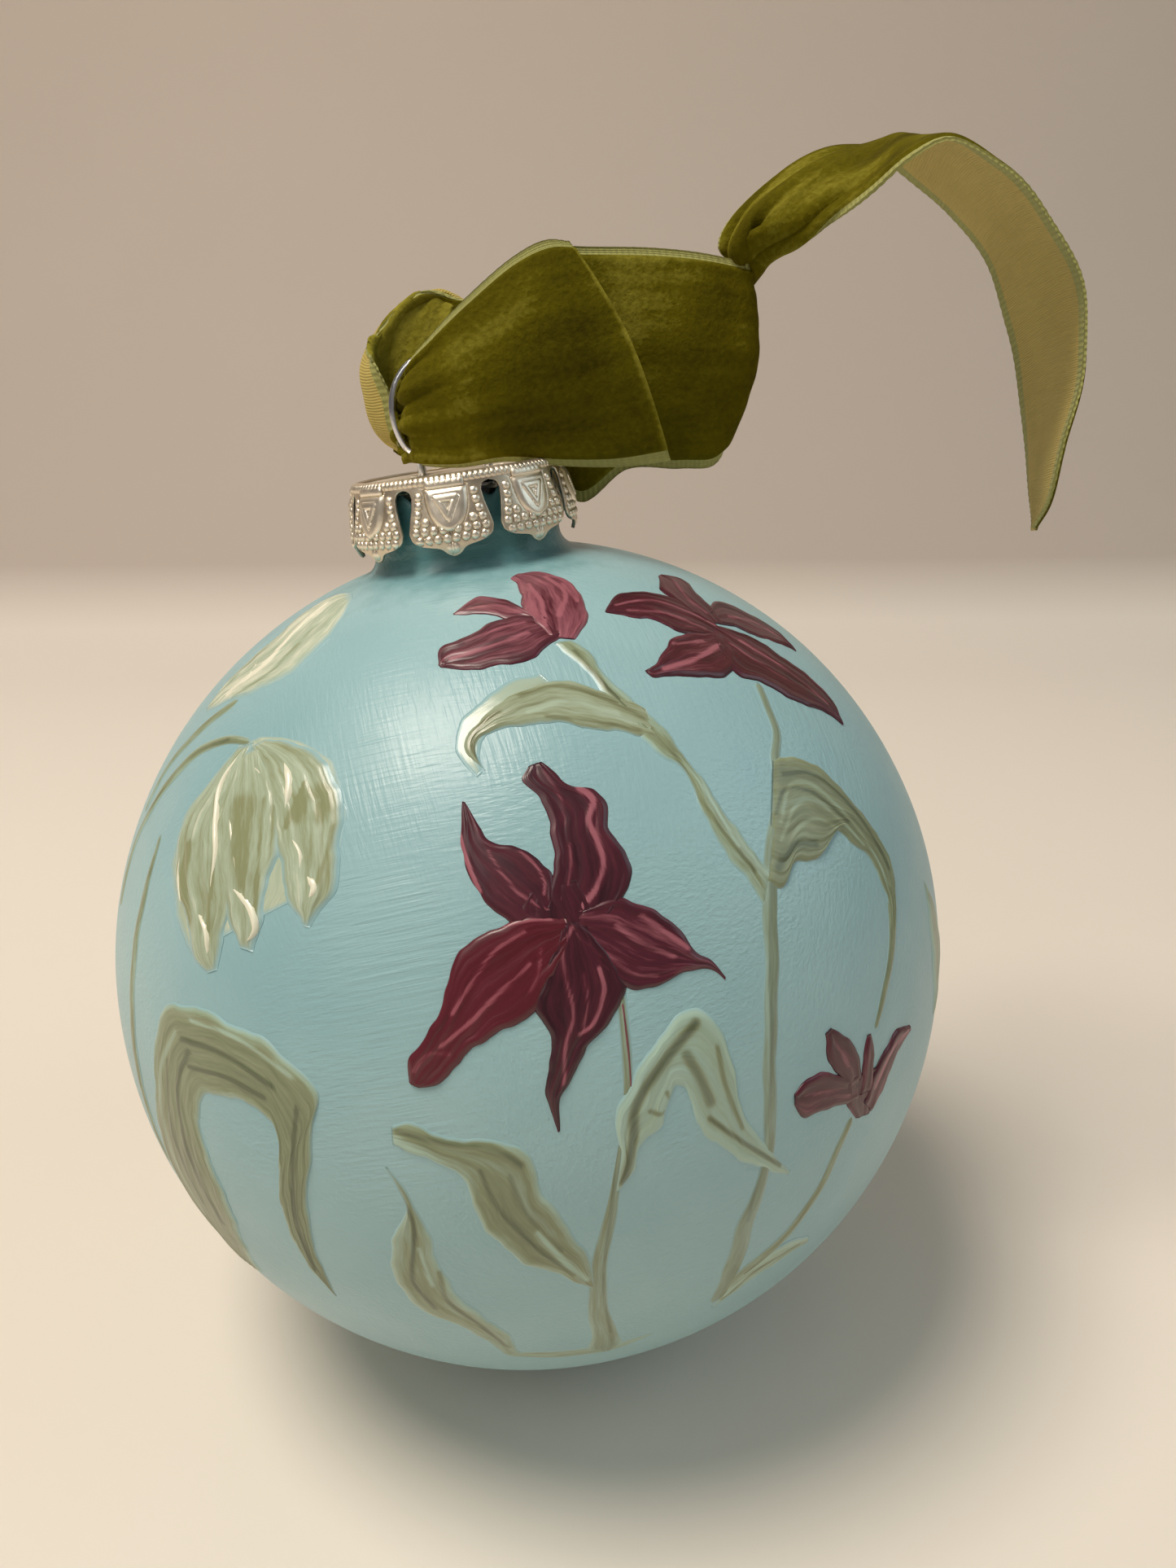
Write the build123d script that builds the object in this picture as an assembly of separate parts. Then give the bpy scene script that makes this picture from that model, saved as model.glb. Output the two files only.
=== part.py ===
"""Glass ball ornament: a hollow painted ball, a stamped crown cap on its neck, a sprung wire
hanger in the cap's two slots, and a knotted velvet ribbon through the hanger's eye.

Millimetres, +Z up along the ball's axis, -Y towards the viewer. The origin is the top of the
opening in the hanger's eye, the point that a hook or a thread would bear on.
"""

import os

from build123d import *

os.makedirs("parts", exist_ok=True)

# Driving dimensions
BALL_RADIUS = 40.0  # over the paint
COAT = 0.25  # ground coat of paint
GLASS = 1.0  # wall of the blown ball and its neck
NECK_RADIUS = 8.3  # outside of the bare glass neck
NECK_BLEND = 1.8  # where the neck flows into the ball
RIM_SWELL = 0.25  # fire-polished swelling at the neck's mouth
CAP_HEIGHT = 46.8  # ball's centre to the top of the cap's plate
SHEET = 0.35  # stamped metal
CAP_SHOULDER = 9.25  # radius where the plate turns down
CAP_BELLY = 9.95  # largest radius over the flared lobes
LOBES = 8
LOBE_DROP = 6.4  # plate's top to the tips of the lobes
LOBE_TURN = 353.0  # compass turn of one lobe, which fixes all eight
WIRE = 0.4  # radius of the hanger's wire
EYE_TOP = 10.0  # middle of the wire at the eye's top, above the plate
EYE_HALF = 4.6  # half the eye's width, to the middle of the wire
SLOT_OUT = 3.0  # where each leg drops through the plate
LEG_LENGTH = 20.0
LEG_SPLAY = 21.0  # degrees outwards from straight down
RIBBON = 22.0  # width of the velvet ribbon
PILE = 1.0  # thickness of a ribbon solid, with its pile

PLATE = WIRE - EYE_TOP  # height of the plate's top face: the origin is under the eye's wire
CENTRE = PLATE - CAP_HEIGHT  # height of the ball's centre
MOUTH = PLATE - SHEET - 0.15  # height of the glass rim


def save(shape, node):
    shape.label = node
    export_step(shape, f"parts/{node}.step")


def ball_with_neck(radius, neck, top, blend):
    """A solid sphere with a neck standing on it, blended where the two meet."""
    ball = Pos(0, 0, CENTRE) * Sphere(radius)
    stem = Pos(0, 0, CENTRE) * Cylinder(
        neck, top - CENTRE, align=(Align.CENTER, Align.CENTER, Align.MIN)
    )
    body = ball + stem
    seam = body.edges().filter_by(GeomType.CIRCLE).sort_by(Axis.Z)[-2:-1]
    return fillet(seam, blend)


def slab(points, near, far):
    """A plain panel: an outline in x and height above the plate, between two depths in y."""
    outline = make_face(Polyline([(x, z) for x, z in points], close=True))
    raised = Plane((0, near, PLATE), x_dir=(1, 0, 0), z_dir=(0, -1, 0)) * outline
    return extrude(raised, amount=far - near, dir=(0, 1, 0))


# The ball: glass shell, open at the neck, and the coat of paint that wraps it
glass_radius = BALL_RADIUS - COAT
bare = ball_with_neck(glass_radius, NECK_RADIUS, MOUTH, NECK_BLEND)
hollow = ball_with_neck(glass_radius - GLASS, NECK_RADIUS - GLASS, MOUTH + 1, NECK_BLEND)
rim = Pos(0, 0, MOUTH - GLASS / 2) * Torus(NECK_RADIUS - GLASS / 2, GLASS / 2 + RIM_SWELL)
below_mouth = Cylinder(BALL_RADIUS, 5, align=(Align.CENTER, Align.CENTER, Align.MIN))
rim &= Pos(0, 0, MOUTH - 5) * below_mouth
glass_ball = (bare - hollow) + (rim - hollow)

paint_top = PLATE - LOBE_DROP / 2
painted = ball_with_neck(BALL_RADIUS, NECK_RADIUS + COAT, paint_top, NECK_BLEND)
ground_coat = painted - ball_with_neck(glass_radius, NECK_RADIUS, MOUTH, NECK_BLEND)

# The cap: a flared skirt turned about the axis, then eight notches cut between the lobes
shoulder = 0.7
outside = [
    (0, 0),
    (CAP_SHOULDER - shoulder, 0),
    (CAP_SHOULDER, -shoulder),
    (CAP_BELLY, -4.2),
    (CAP_BELLY - 0.3, -LOBE_DROP),
]
skirt_edge = (CAP_BELLY - 0.3 - SHEET, -LOBE_DROP)
skirt_section = make_face(
    [
        Line(outside[0], outside[1]),
        RadiusArc(outside[1], outside[2], shoulder),
        Line(outside[2], outside[3]),
        Line(outside[3], outside[4]),
        Line(outside[4], skirt_edge),
        Line(skirt_edge, (CAP_BELLY - SHEET, -4.2)),
        Line((CAP_BELLY - SHEET, -4.2), (CAP_SHOULDER - SHEET, -shoulder)),
        Line((CAP_SHOULDER - SHEET, -shoulder), (CAP_SHOULDER - SHEET, -SHEET)),
        Line((CAP_SHOULDER - SHEET, -SHEET), (0, -SHEET)),
        Line((0, -SHEET), (0, 0)),
    ]
)
skirt = revolve(Plane.XZ * skirt_section, Axis.Z)

# Half of one notch: an arch at the top, nearly shut at the lobes' widest, then open round the tips
arch_top, arch_half = -1.1, 0.8
arch_foot = (arch_half, arch_top - arch_half)
notch_side = Spline(arch_foot, (0.5, -3.2), (0.15, -4.3), (0.55, -4.95), (1.5, -5.35), (2.6, -5.5))
notch_right = [
    ThreePointArc((0, arch_top), (arch_half * 0.7, arch_top - arch_half * 0.3), arch_foot),
    notch_side,
    Polyline((2.6, -5.5), (3.1, -5.7), (3.6, -LOBE_DROP), (3.6, -9), (0, -9)),
    Line((0, -9), (0, arch_top)),
]
half_notch = make_face(notch_right)
notch_outline = half_notch + mirror(half_notch, Plane.YZ)
notch_plane = Plane((0, -CAP_BELLY - 3, 0), x_dir=(1, 0, 0), z_dir=(0, -1, 0))
notch = extrude(notch_plane * notch_outline, amount=-6)
pitch = 360 / LOBES
for i in range(LOBES):
    skirt -= Rot(0, 0, LOBE_TURN + pitch * (i + 0.5)) * notch

slot_length, slot_width = 2.3, 1.4
for side in (-1, 1):
    skirt -= Pos(side * (SLOT_OUT + 0.45), 0, 0) * Box(slot_length, slot_width, 4)
crown_cap = Pos(0, 0, PLATE) * skirt

# The hanger: the eye with its two stubs through the plate, and the two sprung legs below
STUB = 0.95  # how far each stub reaches below the plate's top
eye_plane = Plane((0, 0, PLATE), x_dir=(1, 0, 0), z_dir=(0, -1, 0))
half_bow = Spline(
    (0, EYE_TOP), (3.4, 8.6), (EYE_HALF, 5.4), (3.75, 2.4), (SLOT_OUT, 0.2), tangents=[(1, 0), (0, -1)]
)
half_path = eye_plane * (half_bow + Line((SLOT_OUT, 0.2), (SLOT_OUT, -STUB)))
half_eye = sweep(Plane(half_path @ 0, z_dir=(1, 0, 0)) * Circle(WIRE), path=half_path)
wire_eye = half_eye + mirror(half_eye, Plane.YZ)

leg = Cylinder(WIRE, LEG_LENGTH, align=(Align.CENTER, Align.CENTER, Align.MAX))
leg += Pos(0, 0, -LEG_LENGTH) * Sphere(WIRE)
leg_root = PLATE - STUB - 0.2
wire_leg_left = Pos(-SLOT_OUT, 0, leg_root) * Rot(0, LEG_SPLAY, 0) * leg
wire_leg_right = Pos(SLOT_OUT, 0, leg_root) * Rot(0, -LEG_SPLAY, 0) * leg

# The ribbon's knot: plain panels, from the front end through the eye and round to the back
ribbon_front_end = slab(
    [(-2.4, 0.8), (-2.6, 8.0), (2.2, 12.4), (8.4, 16.6), (12.0, 17.4), (15.9, 11.3), (19.2, -0.9)]
    + [(16.0, -1.9), (11.2, -1.3), (9.4, 0.6)],
    near=-4.6,
    far=-3.2,
)
ribbon_eye_pass = slab([(-2.1, 4.9), (1.1, 4.9), (1.1, 7.9), (-2.1, 7.9)], near=-3.2, far=1.2)
ribbon_side_loop = slab(
    [(-6.6, 3.9), (-6.8, 10.4), (-4.6, 13.0), (-2.0, 14.8), (2.2, 15.1), (8.6, 15.6)]
    + [(8.6, 12.0), (3.0, 11.4), (1.1, 7.9), (1.1, 4.9), (-2.1, 4.9), (-4.4, 2.4)],
    near=1.2,
    far=2.4,
)
ribbon_knot_back = slab(
    [(5.9, 1.0), (5.9, 14.0), (8.6, 17.2), (29.4, 14.4), (28.9, 1.8), (23.8, -3.4)]
    + [(12.0, -3.4), (10.9, 0.9)],
    near=0.1,
    far=1.2,
)

# The ribbon's long tail: it leaves the knot's top right corner, rises, and curls over to a point
ribbon_tail_rise = slab(
    [(27.0, 15.4), (31.4, 19.4), (36.0, 21.2), (42.6, 21.5), (42.6, 18.6), (36.6, 15.6), (30.6, 13.6)],
    near=1.6,
    far=4.6,
)
curl_outer = [(42.7, 20.6), (48.6, 20.4), (53.6, 15.4), (56.4, 7.6), (57.0, 0.4), (55.4, -12.4)]
curl_line = Spline(*curl_outer)
curl_inner = [
    curl_line @ t + (curl_line % t).rotate(Axis.Z, -90) * PILE for t in (1, 0.8, 0.6, 0.4, 0.2, 0)
]
curl_face = make_face(
    [
        curl_line,
        Line(curl_line @ 1, curl_inner[0]),
        Spline(*curl_inner),
        Line(curl_inner[-1], curl_line @ 0),
    ]
)
curl_plane = Plane((0, -RIBBON / 2, PLATE), x_dir=(1, 0, 0), z_dir=(0, -1, 0))
ribbon_tail_curl = extrude(curl_plane * curl_face, amount=RIBBON, dir=(0, 1, 0))

for node, shape in {
    "glass_ball": glass_ball,
    "ground_coat": ground_coat,
    "crown_cap": crown_cap,
    "wire_eye": wire_eye,
    "wire_leg_left": wire_leg_left,
    "wire_leg_right": wire_leg_right,
    "ribbon_front_end": ribbon_front_end,
    "ribbon_eye_pass": ribbon_eye_pass,
    "ribbon_side_loop": ribbon_side_loop,
    "ribbon_knot_back": ribbon_knot_back,
    "ribbon_tail_rise": ribbon_tail_rise,
    "ribbon_tail_curl": ribbon_tail_curl,
}.items():
    save(shape, node)
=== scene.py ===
"""Looks of the glass ball ornament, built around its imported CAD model.

Lengths are millimetres in the working code and become metres where a mesh is made.
The painting on the ball is drawn on flat maps: a point (u, v) lies u to the right and v above
the map's centre, measured along the ball's surface.
"""

import math
import random

import bpy
import numpy as np
from mathutils import Matrix, Vector
from mathutils.geometry import delaunay_2d_cdt


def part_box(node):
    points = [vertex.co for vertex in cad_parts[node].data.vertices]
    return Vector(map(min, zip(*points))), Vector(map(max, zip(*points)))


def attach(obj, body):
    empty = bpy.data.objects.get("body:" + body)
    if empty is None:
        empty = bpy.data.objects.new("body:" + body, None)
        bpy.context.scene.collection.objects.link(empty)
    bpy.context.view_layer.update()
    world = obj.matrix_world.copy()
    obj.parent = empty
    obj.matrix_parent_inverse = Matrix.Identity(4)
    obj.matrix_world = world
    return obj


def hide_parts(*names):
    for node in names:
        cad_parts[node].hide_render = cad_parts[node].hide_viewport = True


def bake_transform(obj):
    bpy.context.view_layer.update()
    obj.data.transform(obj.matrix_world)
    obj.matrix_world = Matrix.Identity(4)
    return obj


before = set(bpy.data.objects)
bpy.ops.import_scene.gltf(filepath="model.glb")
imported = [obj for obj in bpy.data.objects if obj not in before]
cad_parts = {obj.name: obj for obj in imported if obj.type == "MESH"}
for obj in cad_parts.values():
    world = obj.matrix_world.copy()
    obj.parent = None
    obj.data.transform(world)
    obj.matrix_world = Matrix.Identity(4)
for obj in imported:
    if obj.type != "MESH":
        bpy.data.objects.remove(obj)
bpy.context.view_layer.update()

MM = 0.001
UV_SCALE = 0.01  # texture coordinates for each millimetre of cloth or brush stroke
coat_low, coat_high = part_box("ground_coat")
RADIUS = (coat_high.x - coat_low.x) / 2 / MM  # the painted ball
CENTRE = coat_low.z / MM + RADIUS  # height of the ball's centre
COAT_TOP = coat_high.z / MM - CENTRE + 1.7  # where the paint's ragged edge ends on the neck
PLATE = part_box("crown_cap")[1].z / MM  # top face of the cap
glass_low, glass_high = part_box("glass_ball")
GLASS_RADIUS = (glass_high.x - glass_low.x) / 2 / MM


# ---------------------------------------------------------------- small tools


def ramp(x):
    x = np.clip(x, 0, 1)
    return x * x * (3 - 2 * x)


def through(points, knots, at):
    """A smooth curve (or a family of them) through points at the given knots."""
    p, k = np.asarray(points, float), np.asarray(knots, float)
    extra = (1,) * (p.ndim - 1)
    gap = np.diff(k).reshape(-1, *extra)
    slope = np.diff(p, axis=0) / gap
    tangent = np.empty_like(p)
    tangent[1:-1] = (slope[:-1] * gap[1:] + slope[1:] * gap[:-1]) / (gap[:-1] + gap[1:])
    tangent[0], tangent[-1] = slope[0], slope[-1]
    i = np.clip(np.searchsorted(k, at, side="right") - 1, 0, len(k) - 2)
    h = (k[i + 1] - k[i]).reshape(-1, *extra)
    f = ((at - k[i]) / (k[i + 1] - k[i])).reshape(-1, *extra)
    start = (2 * f**3 - 3 * f**2 + 1) * p[i] + (f**3 - 2 * f**2 + f) * h * tangent[i]
    return start + (3 * f**2 - 2 * f**3) * p[i + 1] + (f**3 - f**2) * h * tangent[i + 1]


def run_of(points):
    """Distance along a line to each of its points."""
    return np.concatenate([[0], np.cumsum(np.linalg.norm(np.diff(points, axis=0), axis=1))])


def evenly(points, count):
    """Points at equal steps along a smooth curve through the given ones."""
    p = np.asarray(points, float)
    steps = np.linalg.norm(np.diff(p, axis=0), axis=1) ** 0.5 + 1e-6
    knots = np.concatenate([[0], np.cumsum(steps)])
    fine = through(p, knots, np.linspace(0, knots[-1], 12 * len(p)))
    run = run_of(fine)
    at = np.linspace(0, run[-1], count)
    return np.stack([np.interp(at, run, fine[:, c]) for c in range(p.shape[1])], axis=1)


def distance_to(line, points):
    """Distance from each point to a polyline."""
    best = np.full(len(points), 1e9)
    for a, b in zip(line[:-1], line[1:]):
        d = b - a
        t = np.clip(((points - a) @ d) / max(d @ d, 1e-9), 0, 1)
        best = np.minimum(best, np.linalg.norm(points - a - t[:, None] * d, axis=1))
    return best


def grid_faces(rows, columns, around=False, first=0):
    """Quads between neighbouring rows and columns of a grid of vertices."""
    i = np.arange(rows - 1)[:, None]
    j = np.arange(columns if around else columns - 1)[None, :]
    k = (j + 1) % columns
    a, b = i * columns + j, i * columns + k
    quads = np.stack([a, b, b + columns, a + columns], axis=-1).reshape(-1, 4)
    return (quads + first).tolist()


def add_mesh(name, points, faces, materials, attributes=None, uv=None, kinds=None):
    """A smooth mesh object from points in millimetres. uv is given for each point."""
    mesh = bpy.data.meshes.new(name)
    mesh.from_pydata((np.asarray(points, float) * MM).tolist(), [], faces)
    for material in materials:
        mesh.materials.append(material)
    mesh.polygons.foreach_set("use_smooth", [True] * len(mesh.polygons))
    if kinds is not None:
        mesh.polygons.foreach_set("material_index", kinds)
    for key, values in (attributes or {}).items():
        data = mesh.attributes.new(key, "FLOAT", "POINT").data
        data.foreach_set("value", np.asarray(values, np.float32))
    if uv is not None:
        corner = np.zeros(len(mesh.loops), int)
        mesh.loops.foreach_get("vertex_index", corner)
        layer = mesh.uv_layers.new(name="UVMap")
        layer.data.foreach_set("uv", np.asarray(uv, np.float32)[corner].ravel())
    mesh.update()
    obj = bpy.data.objects.new(name, mesh)
    bpy.context.scene.collection.objects.link(obj)
    return obj


# ---------------------------------------------------------------- materials


class Shader:
    """A small builder for one procedural material."""

    def __init__(self, name, **sockets):
        self.material = bpy.data.materials.new(name)
        self.material.use_nodes = True
        self.tree = self.material.node_tree
        self.out = self.tree.nodes["Principled BSDF"]
        for key, value in sockets.items():
            self.out.inputs[key.replace("_", " ")].default_value = value

    def node(self, kind, inputs=None, **settings):
        made = self.tree.nodes.new("ShaderNode" + kind)
        for key, value in settings.items():
            setattr(made, key, value)
        for key, value in (inputs or {}).items():
            self.link(value, made.inputs[key])
        return made

    def link(self, value, socket):
        if isinstance(value, bpy.types.Node):
            value = value.outputs[0]
        if isinstance(value, bpy.types.NodeSocket):
            self.tree.links.new(value, socket)
        else:
            socket.default_value = value

    def math(self, operation, a, b=0.0):
        return self.node("Math", {0: a, 1: b}, operation=operation)

    def add(self, a, b):
        return self.math("ADD", a, b)

    def times(self, a, b):
        return self.math("MULTIPLY", a, b)

    def attribute(self, name):
        return self.node("Attribute", attribute_name=name).outputs["Fac"]

    def vector(self, source="Object", scale=(1, 1, 1), turn=(0, 0, 0)):
        from_node = self.node("TexCoord").outputs[source]
        return self.node("Mapping", {"Vector": from_node, "Scale": scale, "Rotation": turn})

    def noise(self, vector, scale, detail=4.0, rough=0.55, warp=0.0):
        made = self.node("TexNoise", {"Vector": vector, "Scale": scale, "Detail": detail})
        made.inputs["Roughness"].default_value = rough
        made.inputs["Distortion"].default_value = warp
        return made.outputs["Fac"]

    def strokes(self, turn, squash, scale):
        """Noise drawn out along one direction: turn brings it onto the axis that squash shortens."""
        turned = self.vector(turn=turn)
        return self.noise(self.node("Mapping", {"Vector": turned, "Scale": squash}), scale, 2.0)

    def fit(self, value, low, high, to_low=0.0, to_high=1.0):
        made = self.node("MapRange", {"Value": value, "From Min": low, "From Max": high})
        made.inputs["To Min"].default_value = to_low
        made.inputs["To Max"].default_value = to_high
        return made

    def mix(self, share, a, b):
        made = self.node("Mix", data_type="RGBA")
        self.link(share, made.inputs[0])
        self.link((*a, 1) if isinstance(a, tuple) else a, made.inputs[6])
        self.link((*b, 1) if isinstance(b, tuple) else b, made.inputs[7])
        return made.outputs[2]

    def bump(self, height, distance, strength=1.0, under=None):
        made = self.node("Bump", {"Height": height, "Distance": distance, "Strength": strength})
        if under is not None:
            self.link(under, made.inputs["Normal"])
        return made.outputs["Normal"]

    def set(self, socket, value):
        self.link(value, self.out.inputs[socket])
        return self


COAT_LIGHT, COAT_DEEP = (0.345, 0.555, 0.59), (0.27, 0.475, 0.525)
# the neck's teal is partly its own paint and partly painted shade where the cap shades it
NECK_TEAL_AND_SHADE, TEAL_FROM, TEAL_TO = (0.10, 0.27, 0.29), 39.0, 42.0  # colour, and heights from the centre


def coat_material():
    """Satin acrylic ground coat: soft mottling, crossing brush marks, and a darker teal on the neck that is
    partly its own paint and partly painted shade under the cap.
    """
    s = Shader("blue_ground_coat", Specular_IOR_Level=0.5, Coat_Weight=0.12, Coat_Roughness=0.3)
    place = s.vector()
    mottle = s.noise(place, 45.0, 3.0)
    colour = s.mix(s.fit(mottle, 0.3, 0.7), COAT_LIGHT, COAT_DEEP)
    height = s.node("SeparateXYZ", {0: place}).outputs["Z"]
    ragged = s.add(height, s.times(s.noise(place, 420.0, 5.0), 0.0035))
    # painted shade: above this height the coat turns to a darker teal, as if shaded by the cap
    neck = s.fit(ragged, (CENTRE + TEAL_FROM) * MM, (CENTRE + TEAL_TO) * MM)
    s.set("Base Color", s.mix(neck, colour, NECK_TEAL_AND_SHADE))
    upright = s.strokes((0.85, 0.1, 0), (1, 1, 0.05), 3000.0)
    level = s.strokes((0, 0.12, 0.2), (0.05, 1, 1), 3000.0)
    patch = s.fit(s.noise(place, 60.0, 2.0), 0.42, 0.58, -0.7, 0.7)
    one = s.times(upright, s.add(patch, 1.0))
    other = s.times(level, s.math("SUBTRACT", 1.0, patch))
    s.set("Normal", s.bump(s.add(one, other), 0.00006, 0.8))
    s.set("Roughness", s.fit(s.noise(place, 160.0), 0.3, 0.7, 0.32, 0.42))
    return s.material


def glass_material():
    """Clear blown glass with a faint uneven surface."""
    s = Shader("clear_glass", Roughness=0.03, IOR=1.5, Transmission_Weight=1.0)
    s.set("Base Color", (0.93, 0.97, 0.96, 1))
    s.set("Normal", s.bump(s.noise(s.vector(), 260.0, 2.0), 0.0001, 0.3))
    return s.material


def metal_material(name, bright, deep, rough):
    """Stamped metal: brighter on its high points as painted highlight, duller and darker in the hollows as
    painted shade.
    """
    s = Shader(name, Metallic=1.0)
    worn = s.noise(s.vector(), 900.0, 5.0)
    high = s.attribute("relief")
    # painted highlight and shade: the stamped height makes raised parts brighter and hollows darker
    share = s.add(s.times(high, 0.85), s.times(worn, 0.3))
    s.set("Base Color", s.mix(s.fit(share, 0.05, 0.6), deep, bright))
    s.set("Roughness", s.fit(worn, 0.3, 0.75, rough, rough + 0.16))
    s.set("Normal", s.bump(s.noise(s.vector(), 2600.0, 3.0), 0.00003, 0.5))
    return s.material


def wire_material():
    """Drawn spring-steel wire with lengthwise drawing lines."""
    s = Shader("hanger_steel", Metallic=1.0)
    lines = s.noise(s.vector(scale=(1, 1, 0.1)), 4200.0, 3.0)
    s.set("Base Color", s.mix(lines, (0.55, 0.57, 0.62), (0.86, 0.87, 0.9)))
    s.set("Roughness", s.fit(lines, 0.3, 0.7, 0.14, 0.3))
    s.set("Normal", s.bump(lines, 0.00004, 0.4))
    return s.material


def paint_material(name, low, middle, high, warm, rough=0.33):
    """Brushed acrylic: streaks run from low to high along each stroke, and thin edges show the coat."""
    s = Shader(name, Roughness=rough, Coat_Weight=0.12, Coat_Roughness=0.2)
    along = s.vector("UV", scale=(1, 0.13, 1))
    streak = s.noise(along, 80.0, 5.0, 0.6, 0.35)
    fine = s.noise(along, 330.0, 3.0)
    mixed = s.add(s.fit(streak, 0.28, 0.72, -0.3, 0.3), s.fit(fine, 0.3, 0.7, -0.15, 0.15))
    shade = s.add(s.attribute("tone"), s.times(mixed, s.attribute("grain")))
    lower = s.mix(s.fit(shade, 0.0, 0.5), low, middle)
    body = s.mix(s.fit(shade, 0.5, 1.0), lower, high)
    body = s.mix(s.attribute("warm"), body, warm)
    cover = s.add(s.attribute("cover"), s.fit(streak, 0.3, 0.7, -0.12, 0.12))
    ground = s.mix(0.5, COAT_LIGHT, COAT_DEEP)
    s.set("Base Color", s.mix(s.fit(cover, 0.05, 0.9), ground, body))
    relief = s.add(s.times(streak, 0.7), s.times(fine, 0.3))
    s.set("Normal", s.bump(relief, 0.0001, 0.5))
    return s.material


VELVET_DARK, VELVET_MID = (0.044, 0.036, 0.001), (0.108, 0.092, 0.0026)
VELVET_TIP, VELVET_SHEEN = (0.30, 0.27, 0.035), (0.75, 0.66, 0.06, 1)
BACKING, SELVAGE = (0.66, 0.52, 0.15), (0.40, 0.40, 0.13)


def velvet_material():
    """Crushed silk velvet: dark pile, paler where it leans, with a soft sheen at grazing angles, and painted
    highlight on the side loop and at the cut end.
    """
    s = Shader("olive_velvet", Roughness=0.85, Specular_IOR_Level=0.05, Sheen_Weight=0.16)
    s.set("Sheen Roughness", 0.3).set("Sheen Tint", VELVET_SHEEN)
    pile = s.noise(s.vector(), 1900.0, 4.0)
    lean = s.noise(s.vector(scale=(1, 1.4, 0.6)), 95.0, 3.0, 0.5, 0.6)
    bands = s.noise(s.vector("UV", scale=(1, 0.12, 1)), 26.0, 3.0)
    shade = s.add(s.fit(lean, 0.35, 0.7, 0.0, 0.55), s.fit(bands, 0.35, 0.7, 0.0, 0.5))
    # painted highlight: the side loop and the loose pile at the cut end are made paler
    shade = s.add(s.add(shade, s.attribute("pile_light_and_fray")), s.fit(pile, 0.3, 0.7, -0.12, 0.12))
    lower = s.mix(s.fit(shade, 0.0, 0.6), VELVET_DARK, VELVET_MID)
    s.set("Base Color", s.mix(s.fit(shade, 0.6, 1.15), lower, VELVET_TIP))
    s.set("Normal", s.bump(pile, 0.00025, 0.7))
    return s.material


def backing_material(name, colour, ribs):
    """Woven cloth: the ribbon's plain back, or its satin selvage with ribs across it."""
    s = Shader(name, Roughness=0.7, Specular_IOR_Level=0.2, Sheen_Weight=0.05)
    dull = tuple(0.72 * c for c in colour)
    across = s.node("TexWave", {"Vector": s.vector("UV"), "Scale": ribs}, bands_direction="Y")
    across.inputs["Distortion"].default_value = 0.6
    threads = {"Vector": s.vector("UV"), "Scale": 2.2 * ribs}
    lengthwise = s.node("TexWave", threads, bands_direction="X")
    weave = s.add(across.outputs["Fac"], s.times(lengthwise.outputs["Fac"], 0.4))
    cloud = s.noise(s.vector(), 140.0, 4.0)
    share = s.add(s.times(cloud, 0.8), s.times(weave, 0.2))
    s.set("Base Color", s.mix(share, dull, colour))
    s.set("Normal", s.bump(weave, 0.00012, 0.6))
    return s.material


FLOOR, WALL = (0.84, 0.78, 0.70), (0.56, 0.49, 0.43)


def stage_material():
    """Plain matt cloth, paler on the floor than on the wall behind."""
    s = Shader("floor_cloth", Roughness=0.75, Specular_IOR_Level=0.2)
    height = s.node("SeparateXYZ", {0: s.vector()}).outputs["Z"]
    cloud = s.fit(s.noise(s.vector(), 9.0, 2.0), 0.0, 1.0, -0.06, 0.06)
    s.set("Base Color", s.mix(s.add(s.fit(height, 0.006, 0.022), cloud), FLOOR, WALL))
    return s.material


# ---------------------------------------------------------------- camera

CAMERA_FROM_CENTRE = (0.0, -0.107, 0.0505)  # metres from the ball's centre
CAMERA_YAW, CAMERA_PITCH, CAMERA_ROLL = 4.15, 18.2, 8.3  # degrees: right, down and leaning
FOCAL_LENGTH, SENSOR_WIDTH = 26.0, 36.0  # millimetres
NEAREST = 0.005  # metres from the camera


def make_camera():
    data = bpy.data.cameras.new("camera")
    data.lens, data.sensor_width, data.clip_start = FOCAL_LENGTH, SENSOR_WIDTH, NEAREST
    camera = bpy.data.objects.new("camera", data)
    bpy.context.scene.collection.objects.link(camera)
    heading = Matrix.Rotation(math.radians(-CAMERA_YAW), 4, "Z")
    dip = Matrix.Rotation(math.radians(90 - CAMERA_PITCH), 4, "X")
    lean = Matrix.Rotation(math.radians(-CAMERA_ROLL), 4, "Z")
    place = Vector(CAMERA_FROM_CENTRE) + Vector((0, 0, CENTRE * MM))
    camera.matrix_world = Matrix.Translation(place) @ heading @ dip @ lean
    bpy.context.scene.camera = camera


# ---------------------------------------------------------------- the ball's coat of paint

NECK, NECK_BLEND = 8.55, 1.8  # radius over the painted neck, and the hollow curve at its foot
NECK_PAINT, GLASS_GAP = 0.22, 0.03  # thickness of the paint on the neck, and its gap from the glass
RAGGED_FROM = 42.0  # height from the centre above which the paint's edge begins to waver


def coat_profile(ball, neck, top, steps):
    """Points (radius, height from the centre) from the bottom of the ball to the top of the neck."""
    reach = ball + NECK_BLEND
    hollow_r = neck + NECK_BLEND
    hollow_z = math.sqrt(reach**2 - hollow_r**2)
    meet = math.atan2(hollow_z, hollow_r)
    sphere = [(ball * math.cos(a), ball * math.sin(a)) for a in np.linspace(-math.pi / 2, meet, steps)]
    few = steps // 24
    sweep = np.linspace(meet + math.pi, math.pi, max(4, few))[1:]
    hollow = [(hollow_r + NECK_BLEND * math.cos(a), hollow_z + NECK_BLEND * math.sin(a)) for a in sweep]
    stem = [(neck, z) for z in np.linspace(hollow_z, top, max(3, few))[1:]]
    return np.array(sphere + hollow + stem)


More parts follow.
